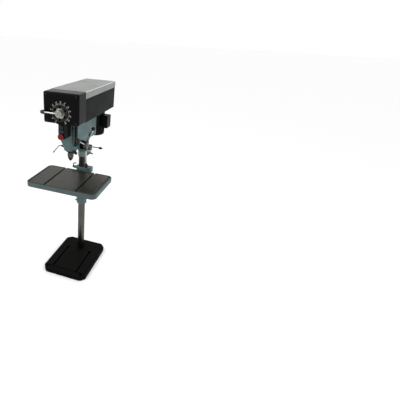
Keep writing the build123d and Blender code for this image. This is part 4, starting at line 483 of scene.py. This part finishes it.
print("slots at", SLOT_X, "and fold at", round(lid_high[0], 4))

# %% [markdown]
# ## Two finishes on one turned part
# The dial is bright in the middle and dark towards its rim, and the crank's grip is
# black plastic on a bright rod. A distance from the dial's axis, and a place along the crank,
# each give a mask, and a second colour goes in where the mask is one.


# %% Second colour by place
BRIGHT_ROUGH, GRIP_LENGTH, BRIGHT_R = 0.16, 0.0365, 0.040


def second_colour(material, mask, colour, metal, rough):
    """Where the mask is one the material takes this colour, metallic value and roughness."""
    tree = material.node_tree
    shader = tint(material, mask, colour)
    first_metal = shader.inputs["Metallic"].default_value
    tree.links.new(spread_value(tree, mask, first_metal, metal), shader.inputs["Metallic"])
    tree.links.new(spread_value(tree, mask, BRIGHT_ROUGH, rough), shader.inputs["Roughness"])


crank_steel = bright_steel.copy()
crank_steel.name = "crank steel"
tree = crank_steel.node_tree
grip_end = corners("speed_crank")[0][0] + GRIP_LENGTH
grip = math_node(tree, "LESS_THAN", coordinates(tree)[0], grip_end)
second_colour(crank_steel, grip, screen(9, 9, 9), 0.0, 0.3)
dial_x, _, dial_z = np.mean(corners("speed_dial"), axis=0)
tree = dial_plate.node_tree
flat = tree.nodes.new("ShaderNodeVectorMath")
flat.operation = "MULTIPLY"
flat.inputs[1].default_value = (1, 0, 1)
tree.links.new(tree.nodes.new("ShaderNodeTexCoord").outputs["Object"], flat.inputs[0])
reach = tree.nodes.new("ShaderNodeVectorMath")
reach.operation = "DISTANCE"
reach.inputs[1].default_value = (dial_x, 0, dial_z)
tree.links.new(flat.outputs[0], reach.inputs[0])
outside = math_node(tree, "GREATER_THAN", reach.outputs["Value"], BRIGHT_R)
second_colour(dial_plate, outside, screen(42, 42, 40), 0.9, 0.2)
print("dial centre", round(dial_x, 4), round(dial_z, 4))

# %% [markdown]
# ## Dressing the solids
# On the real machine a piece has one coat, so each solid takes one material. The pairs could be set
# one by one, but a table from material to names shows at a glance what shares a finish, and the
# count printed at the end shows that no solid was forgotten.

# %% Give each solid its finish
finishes = {
    casting_blue: "head_casting table_bracket table_collar",
    motor_black: "motor_shell motor_end_bells motor_plate motor_terminal_box",
    base_black: "base",
    guard_green: "guard_shell guard_tray",
    front_black: "front_bezel spring_housing speed_scale_ring",
    lid_grey: "guard_lid",
    collar_grey: "head_collar",
    column_steel: "column quill spindle drive_sleeve feed_pinion_shaft lid_hinge_pin",
    table_paint: "table_top",
    crank_steel: "speed_crank",
    bright_steel: "feed_handle_rods quill_bearings sleeve_bearings motor_bearings",
    dial_plate: "speed_dial",
    chuck_plate: "chuck_body chuck_sleeve",
    black_steel: "set_screws depth_rod depth_nuts bezel_screws table_collar_screw table_bolts "
                 "table_clamp_handle head_clamp_lever quill_lock_lever stop_collar chuck_jaw_1 chuck_jaw_2 "
                 "chuck_jaw_3 motor_bolts return_spring sheave_spring",
    hub_steel: "feed_hub",
    aluminium: "spindle_sheave_lower spindle_sheave_upper motor_sheave_lower motor_sheave_upper",
    core_iron: "motor_stator motor_rotor",
    knob_black: "feed_knobs",
    stop_red: "stop_button",
    lamp_red: "pilot_lamp",
    teal_gloss: "start_button",
    black_mould: "switch_box",
    black_rubber: "drive_belt cord_bushing",
}
dressed = 0
for material, names in finishes.items():
    for name in names.split():
        mesh = nodes[name].data
        mesh.materials.clear()
        mesh.materials.append(material)
        dressed += 1
print(dressed, "of", len(nodes), "solids dressed")

# %% [markdown]
# ## Surfaces from numbers
# The added pieces are grids: a function of two parameters gives a point, and neighbouring
# points make a quad. One helper turns such arrays into a mesh, closes each one round and fills
# its ends, so a turned knob, a thread and a plate are all the same few lines.


# %% Grid to mesh
def face_out(mesh):
    """Doubles are merged first, and then the normals are made to point outwards."""
    work = bmesh.new()
    work.from_mesh(mesh)
    bmesh.ops.remove_doubles(work, verts=work.verts, dist=1e-7)
    bmesh.ops.recalc_face_normals(work, faces=work.faces)
    work.to_mesh(mesh)
    work.free()


def add_piece(name, mesh, body, material, smooth=True):
    mesh.materials.clear()
    mesh.materials.append(material)
    face_out(mesh)
    mesh.shade_smooth() if smooth else mesh.shade_flat()
    piece = bpy.data.objects.new(name, mesh)
    bpy.context.scene.collection.objects.link(piece)
    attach(piece, body)
    return piece


def add_grids(name, grids, body, material, slot, smooth=True):
    """Closed tubes in one piece: one row per step along a tube, one column per step round it."""
    points, faces, start = [], [], 0
    for grid in grids:
        rows, columns = grid.shape[:2]
        index = np.arange(rows * columns).reshape(rows, columns) + start
        ahead = np.roll(index, -1, axis=1)
        around = np.stack([index[:-1], ahead[:-1], ahead[1:], index[1:]], axis=-1)
        faces += around.reshape(-1, 4).tolist() + [index[0, ::-1].tolist(), index[-1].tolist()]
        points.append(grid.reshape(-1, 3))
        start += rows * columns
    mesh = bpy.data.meshes.new(name)
    mesh.from_pydata(np.concatenate(points).tolist(), [], faces)
    return add_piece(name, mesh, body, material, smooth)


print("ready to add pieces with", add_grids.__name__)

# %% [markdown]
# Screw heads, nuts and ferrules are all turned. A Screw modifier on a curve would do it too, but
# a profile carried round an axis is one line of arithmetic, and with six steps it is a hexagon.


# %% Turned profiles
def square_to(axis):
    """The axis at length one, and two directions square to it and to each other."""
    axis = np.array(axis, float) / np.linalg.norm(axis)
    aside = np.cross(axis, (0, 0, 1) if abs(axis[2]) < 0.9 else (1, 0, 0))
    aside /= np.linalg.norm(aside)
    return axis, aside, np.cross(axis, aside)


def turned(profile, centre, axis, steps=40):
    """A profile of (distance along the axis, radius) pairs, carried round the axis."""
    axis, u, v = square_to(axis)
    along, radius = np.array(profile, float).T
    turn = np.linspace(0, 2 * np.pi, steps, endpoint=False)
    ring = np.cos(turn)[:, None] * u + np.sin(turn)[:, None] * v
    return np.array(centre) + along[:, None, None] * axis + radius[:, None, None] * ring


print("ready to turn profiles with", turned.__name__)

# %% [markdown]
# ## The depth rod's thread
# The depth stop's nuts run on a threaded rod. A thread is the rod's radius going up and down
# by half its depth, once for each pitch along the rod plus once for each turn round it.

# %% Threaded depth rod
ROD_R, PITCH, THREAD, HEAD_H, BLANK_TIP = 0.005, 0.002, 0.0006, 0.006, 0.001
STEPS_PER_PITCH, STEPS_ROUND = 6, 20
low, high = corners("depth_rod")
rod_x, rod_y = (low[:2] + high[:2]) / 2
steps_up = int((high[2] - low[2] - HEAD_H - 2 * BLANK_TIP) / PITCH * STEPS_PER_PITCH)
height = np.linspace(low[2] + HEAD_H, high[2] - BLANK_TIP, steps_up)[:, None]
turn = np.linspace(0, 2 * np.pi, STEPS_ROUND, endpoint=False)[None, :]
radius = ROD_R - THREAD * (0.5 + 0.5 * np.cos(2 * np.pi * height / PITCH - turn))
thread = np.stack([rod_x + radius * np.cos(turn), rod_y + radius * np.sin(turn), height + 0 * turn], axis=-1)
rod = add_grids("depth_rod_thread", [thread], "quill_body", black_steel, "bright_steel")
hexagon = [(0, 0.0062), (0.0008, 0.0072), (0.0052, 0.0072), (HEAD_H, 0.0064)]
head = turned(hexagon, (rod_x, rod_y, low[2]), (0, 0, 1), 6)
add_grids("depth_rod_head", [head], "quill_body", black_steel, "black_steel", smooth=False)
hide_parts("depth_rod")
print("thread rows", steps_up)

# %% [markdown]
# ## Scale round the speed dial
# The ring behind the dial carries a scale of speeds. Each mark is a thin raised bar that points at
# the dial's axis, and every fifth one is longer. The bars are joined in one piece, since they
# never move apart.

# %% Marks on the dial ring
FIRST, STEP, MARKS, LONG_EVERY = -240, 5, 61, 5
LONG, SHORT, MARK_LIFT, SUNK = (0.010, 0.0024), (0.006, 0.0013), 0.0004, 0.0001
MARK_R = 0.067


def bar(centre, direction, length, width, lift):
    """A flat bar on a front face, whose section is a thin chamfered rectangle."""
    direction = np.array(direction) / np.linalg.norm(direction)
    across, out = np.cross(direction, (0, 1, 0)), np.array((0, -1, 0))
    base = np.array([[-0.5, 0], [-0.5, 0.7], [-0.42, 1], [0.42, 1], [0.5, 0.7], [0.5, 0]])
    section = base[:, :1] * width * across + base[:, 1:] * lift * out
    ends = np.array([-0.5, 0.5])[:, None, None] * length * direction
    return np.array(centre) + ends + section[None]


def from_axis(angle):
    """The direction at this angle from the dial's axis, clockwise as seen from the front."""
    return np.array((math.cos(angle), 0, -math.sin(angle)))


ring_low, ring_high = corners("speed_scale_ring")
ring_x, face_y, ring_z = (ring_low[0] + ring_high[0]) / 2, ring_low[1], (ring_low[2] + ring_high[2]) / 2
marks = []
for count in range(MARKS):
    way = from_axis(math.radians(FIRST + count * STEP))
    length, width = SHORT if count % LONG_EVERY else LONG
    middle = np.array((ring_x, face_y + SUNK, ring_z)) + way * (MARK_R + length / 2)
    marks.append(bar(middle, way, length, width, MARK_LIFT))
add_grids("speed_scale_marks", marks, "head", pale_ink, "dial_face", smooth=False)
print(len(marks), "marks")

# %% [markdown]
# Plain numbers stand outside the long marks. A picture of them would blur close up, so each is a
# text curve with a little depth, turned into a mesh, laid on the front face and turned to stand
# upright along the ring.

# %% Numbers on the dial ring
NUMBER_R, NUMBER_SIZE, NUMBER_DEPTH, CLEAR = 0.0845, 0.0140, 0.00025, 0.0002


def number(name, text, centre, angle):
    curve = bpy.data.curves.new(name, "FONT")
    curve.body, curve.size, curve.extrude = text, NUMBER_SIZE, NUMBER_DEPTH
    curve.align_x = curve.align_y = "CENTER"
    curve.resolution_u = 3
    words = bpy.data.objects.new(name, curve)
    bpy.context.scene.collection.objects.link(words)
    mesh = bpy.data.meshes.new_from_object(words)
    bpy.data.objects.remove(words)
    points = np.empty(len(mesh.vertices) * 3)
    mesh.vertices.foreach_get("co", points)
    x, y, z = points.reshape(-1, 3).T
    c, s = math.cos(angle), math.sin(angle)
    placed = np.stack([centre[0] + x * c - y * s, centre[1] - z, centre[2] + x * s + y * c], axis=-1)
    mesh.vertices.foreach_set("co", placed.ravel())
    return add_piece(name, mesh, "head", pale_ink, smooth=False)


numbers = MARKS // LONG_EVERY + 1
for count in range(numbers):
    angle = math.radians(FIRST + count * STEP * LONG_EVERY)
    centre = np.array((ring_x, face_y - CLEAR, ring_z)) + from_axis(angle) * NUMBER_R
    number(f"speed_number_{count + 1}", str(3 + 2 * count), centre, -angle - math.pi / 2)
print(numbers, "numbers")

# %% [markdown]
# ## Front plate
# Behind the ring the real front has a flat plate with rounded corners.
# A superellipse gives a rounded rectangle from one formula: both coordinates are the cosine
# and sine of the angle, raised to a small power and keeping their signs.

# %% Plate
PLATE_HALF_X, PLATE_HALF_Z, ROUNDNESS, STEPS = 0.126, 0.100, 0.16, 160
bezel_low, bezel_high = corners("front_bezel")
t = np.linspace(0, 2 * np.pi, STEPS, endpoint=False)
x = PLATE_HALF_X * np.sign(np.cos(t)) * np.abs(np.cos(t)) ** ROUNDNESS
z = PLATE_HALF_Z * np.sign(np.sin(t)) * np.abs(np.sin(t)) ** ROUNDNESS
mid_z = (bezel_low[2] + bezel_high[2]) / 2
layers = []
for scale, y in ((1.0, 0.0), (1.0, -0.0012), (0.992, -0.0018)):
    layers.append(np.stack([x * scale, bezel_low[1] + y + 0 * x, mid_z + z * scale], axis=-1))
add_grids("front_plate", [np.array(layers)], "head", front_black, "black_paint", smooth=False)
print("plate", len(layers), "layers")

# %% [markdown]
# ## Smaller pieces
# Painted shade in a groove, a depth scale, screws and nuts, ferrules under the knobs and a rolled hem on
# the lid are what the eye expects at close range. The depth rod stands in a groove cut up the
# corner of the nose, which lies in shade. Two thin black sheets on the groove's two walls are
# painted shade there, because the casting is one solid with one finish.

# %% Painted shade in the rod's groove
GROOVE, PAST_ROD, OFF_WALL = 0.014, 0.003, 0.00005
SHEET, WIDE, GROOVE_LOW, GROOVE_HIGH = 0.0004, 0.019, 1.299, 1.454
wall_x, wall_y = rod_x + PAST_ROD - GROOVE, rod_y - PAST_ROD + GROOVE
corner = np.array([(0, 0), (0, -WIDE), (SHEET, -WIDE), (SHEET, -SHEET), (WIDE, -SHEET), (WIDE, 0)])
outline = corner + (wall_x + OFF_WALL, wall_y - OFF_WALL)
groove_shade_liner = [np.column_stack([outline, np.full(len(outline), z)]) for z in (GROOVE_LOW, GROOVE_HIGH)]
# Painted shade: two thin black sheets stand in for the shade in the groove.
add_grids("depth_groove_painted_shade", [np.array(groove_shade_liner)], "head", front_black, "black_paint", smooth=False)
print("groove walls at", round(wall_x, 4), round(wall_y, 4))

# %% [markdown]
# A narrow scale beside the groove lets the operator read the depth. It could be a picture, but a
# picture blurs close up, so it is a thin chamfered strip with a small raised bar for every 5 mm.

# %% Depth scale beside the rod
SCALE_X, SCALE_LOW, SCALE_HIGH = 0.048, 1.318, 1.462
TICKS, FIRST_TICK, TICK_STEP, TICK_EDGE = 27, 1.325, 0.005, 0.0055
LONG_TICK, SHORT_TICK, TICK_WIDTH, TICK_LIFT, STRIP_FACE = 0.008, 0.005, 0.0007, 0.0003, 0.0011
scale_y = corners("head_casting")[0][1]
strip = []
for half, lift in ((0.0065, 0), (0.0065, 0.0008), (0.0059, 0.0012)):
    x, z = np.array([(-half, SCALE_LOW), (half, SCALE_LOW), (half, SCALE_HIGH), (-half, SCALE_HIGH)]).T
    strip.append(np.stack([SCALE_X + x, scale_y - lift + 0 * x, z], axis=-1))
add_grids("depth_scale_plate", [np.array(strip)], "head", black_mould, "black_plastic", smooth=False)
ticks = []
for count in range(TICKS):
    length = SHORT_TICK if count % LONG_EVERY else LONG_TICK
    centre = (SCALE_X + TICK_EDGE - length / 2, scale_y - STRIP_FACE, FIRST_TICK + count * TICK_STEP)
    ticks.append(bar(centre, (1, 0, 0), length, TICK_WIDTH, TICK_LIFT))
add_grids("depth_scale_ticks", ticks, "head", pale_ink, "dial_face", smooth=False)
print(len(ticks), "ticks")

# %% [markdown]
# Small fasteners hold the spring housing, the motor's bells and the lid of the terminal box. Each
# is a turned profile: with many steps it is a screw head, and with six it is a hexagon nut. The
# heads of one place are joined in one piece, because they never move apart.

# %% Screws and nuts
HOUSING_R, STUD_R, INSET = 0.0325, 0.069, 0.012
screw = [(0, 0.003), (0.0012, 0.003), (0.0018, 0.002)]
feed = joints["feed_turn"]["pos_m"]
face_x = corners("spring_housing")[1][0] - 0.0005
screws = []
for angle in np.radians([30, 150, 270]):
    spot = (face_x, feed[1] + HOUSING_R * math.cos(angle), feed[2] + HOUSING_R * math.sin(angle))
    screws.append(turned(screw, spot, (1, 0, 0), 20))
add_grids("spring_housing_screws", screws, "head", bright_steel, "bright_steel")
nut = [(-0.012, 0.005), (0.001, 0.005), (0.002, 0.0042)]
motor = joints["motor_spin"]["pos_m"]
nut_z = corners("motor_end_bells")[0][2] + 0.008
studs = []
for angle in np.radians([45, 135, 225, 315]):
    spot = (motor[0] + STUD_R * math.cos(angle), motor[1] + STUD_R * math.sin(angle), nut_z)
    studs.append(turned(nut, spot, (0, 0, -1), 6))
add_grids("motor_stud_nuts", studs, "head", black_steel, "black_steel", smooth=False)
flush = [(-0.002, 0.0035), (-0.0008, 0.0035), (-0.0001, 0.002)]
box_low, box_high = corners("motor_terminal_box")
lids = []
for y in (box_low[1] + INSET, box_high[1] - INSET):
    for z in (box_low[2] + INSET, box_high[2] - INSET):
        lids.append(turned(flush, (box_high[0], y, z), (1, 0, 0), 20))
add_grids("terminal_box_screws", lids, "head", bright_steel, "bright_steel")
print(len(screws) + len(lids), "screws and", len(studs), "nuts")

# %% [markdown]
# Each feed rod ends in a bright ferrule under its knob and has a lock nut where it screws into the
# hub. They could be copied with an array round the hub, but three directions in a loop are just
# as short, and they let the same turned() helper do the work.

# %% Ferrules under the feed knobs
FERRULE_R, LOCK_NUT_R = 0.155, 0.0395
ferrule = [(0, 0.0066), (0.001, 0.0082), (0.007, 0.0082), (0.0085, 0.0095), (0.0092, 0.0066)]
lock_nut = [(0, 0.0095), (0.001, 0.0105), (0.006, 0.0105), (0.007, 0.0095)]
rods_low, rods_high = corners("feed_handle_rods")
hub = np.array(((rods_low[0] + rods_high[0]) / 2, feed[1], feed[2]))
collars, nuts = [], []
for angle in np.radians([33, 153, 273]):
    way = np.array((0, math.cos(angle), math.sin(angle)))
    collars.append(turned(ferrule, hub + way * FERRULE_R, way, 28))
    nuts.append(turned(lock_nut, hub + way * LOCK_NUT_R, way, 6))
add_grids("knob_ferrules", collars, "feed_body", bright_steel, "bright_steel")
add_grids("handle_lock_nuts", nuts, "feed_body", black_steel, "black_steel", smooth=False)
print(len(collars), "ferrules and", len(nuts), "lock nuts")

# %% [markdown]
# A lid of thin sheet has its lower edge rolled, so that it is stiff and safe to hold. A bevel on
# the solid would change the solid's shape, so the hem is a separate thin round bar on each side,
# and it rides on the lid.

# %% Rolled hem along the lid's skirts
HEM_R, HEM_LENGTH, HEM_FRONT = 0.0012, 0.700, 0.002
hem = [(0, 0.0008), (0.0004, HEM_R), (HEM_LENGTH, HEM_R), (HEM_LENGTH + 0.0004, 0.0008)]
hem_z = joints["lid_hinge"]["pos_m"][2] + HEM_R
hems = []
for side in (lid_low[0] + HEM_R, lid_high[0] - HEM_R):
    hems.append(turned(hem, (side, lid_low[1] + HEM_FRONT, hem_z), (0, 1, 0), 12))
add_grids("lid_hem", hems, "lid_body", lid_grey, "light_sheet")
print(len(hems), "hems at height", round(hem_z, 4))

# %% [markdown]
# ## Floor, lights and camera
# The floor is one plain pale sheet, as bright as the sky, so the line where they meet is faint.
# A curved backdrop could hide that line altogether, but it would stand in the way of a view from
# another side, so the sheet is flat and very wide.

# %% Floor
FLOOR_HALF, FLOOR_POINTS, BELOW = 60, 61, 0.0005
line = np.linspace(-FLOOR_HALF, FLOOR_HALF, FLOOR_POINTS)
across, along = np.meshgrid(line, line)
sheet = np.stack([across, along, np.full_like(across, -BELOW)], axis=-1)
index = np.arange(FLOOR_POINTS**2).reshape(FLOOR_POINTS, FLOOR_POINTS)
quads = np.stack([index[:-1, :-1], index[:-1, 1:], index[1:, 1:], index[1:, :-1]], axis=-1)
floor_mesh = bpy.data.meshes.new("studio_floor")
floor_mesh.from_pydata(sheet.reshape(-1, 3).tolist(), [], quads.reshape(-1, 4).tolist())
floor_mesh.shade_smooth()
paper = finish("studio paper", screen(253, 253, 253), screen(252, 252, 252), None, (0.8, 0.9),
               grain=400, depth=0.000001, soft=0, specular=0.1)
floor_mesh.materials.append(paper)
floor = bpy.data.objects.new("studio_floor", floor_mesh)
bpy.context.scene.collection.objects.link(floor)
floor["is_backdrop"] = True
print("floor", 2 * FLOOR_HALF, "m wide")

# %% [markdown]
# The light of a studio comes from large soft boxes. The sky alone would leave no shape in the dark
# paint, so three round area lights add a direction: a key from the front left, a fill from the
# right and a weak one from behind for the edges.

# %% Lights
SKY, SKY_STRENGTH = (1.0, 1.0, 1.0, 1), 1.0
world = bpy.data.worlds.new("studio")
world.use_nodes = True
world.node_tree.nodes["Background"].inputs[0].default_value = SKY
world.node_tree.nodes["Background"].inputs[1].default_value = SKY_STRENGTH
bpy.context.scene.world = world


def soft_light(name, place, target, size, power):
    """A round area light of this size in metres and power in watts, turned to its target."""
    lamp = bpy.data.lights.new(name, "AREA")
    lamp.shape, lamp.size, lamp.energy = "DISK", size, power
    holder = bpy.data.objects.new(name, lamp)
    bpy.context.scene.collection.objects.link(holder)
    holder.location = place
    holder.rotation_euler = (Vector(target) - Vector(place)).to_track_quat("-Z", "Y").to_euler()
    return holder


soft_light("key", (-1.6, -2.6, 3.6), (0, 0, 1.0), 1.8, 40)
soft_light("fill", (3.2, -1.2, 2.4), (0, 0, 0.9), 2.2, 30)
soft_light("back", (0.6, 3.0, 3.4), (0, 0, 1.2), 1.6, 15)
print(len(bpy.data.lights), "lights")

# %% [markdown]
# The camera stands to the machine's right, a little above its top, and looks down at it.
# Turning the camera would put the machine at the side too, but it would also tilt its upright
# lines, so the lens is shifted instead, and the camera is rolled only a little.

# %% Camera
AZIMUTH, TILT, ROLL = math.radians(19.70), math.radians(25.83), math.radians(2.62)
eye = bpy.data.cameras.new("camera")
eye.lens, eye.sensor_width = 29.899, 36.0
eye.shift_x, eye.shift_y = 0.25, -0.0263
camera = bpy.data.objects.new("camera", eye)
bpy.context.scene.collection.objects.link(camera)
camera.location = (1.1620, -2.5779, 2.1820)
level = np.array((-math.sin(AZIMUTH), math.cos(AZIMUTH), 0))
forward = level * math.cos(TILT) - np.array((0, 0, math.sin(TILT)))
right = np.array((math.cos(AZIMUTH), math.sin(AZIMUTH), 0))
up = np.cross(right, forward)
rolled_right = right * math.cos(ROLL) + up * math.sin(ROLL)
rolled_up = up * math.cos(ROLL) - right * math.sin(ROLL)
camera.rotation_euler = Matrix(np.stack([rolled_right, rolled_up, -forward], axis=1).tolist()).to_euler()
bpy.context.scene.camera = camera
bpy.context.scene.view_settings.view_transform = "Standard"
print("camera at", tuple(camera.location), "with a lens of", round(eye.lens, 2), "mm")

# %% Sizes, and the end
low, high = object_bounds()
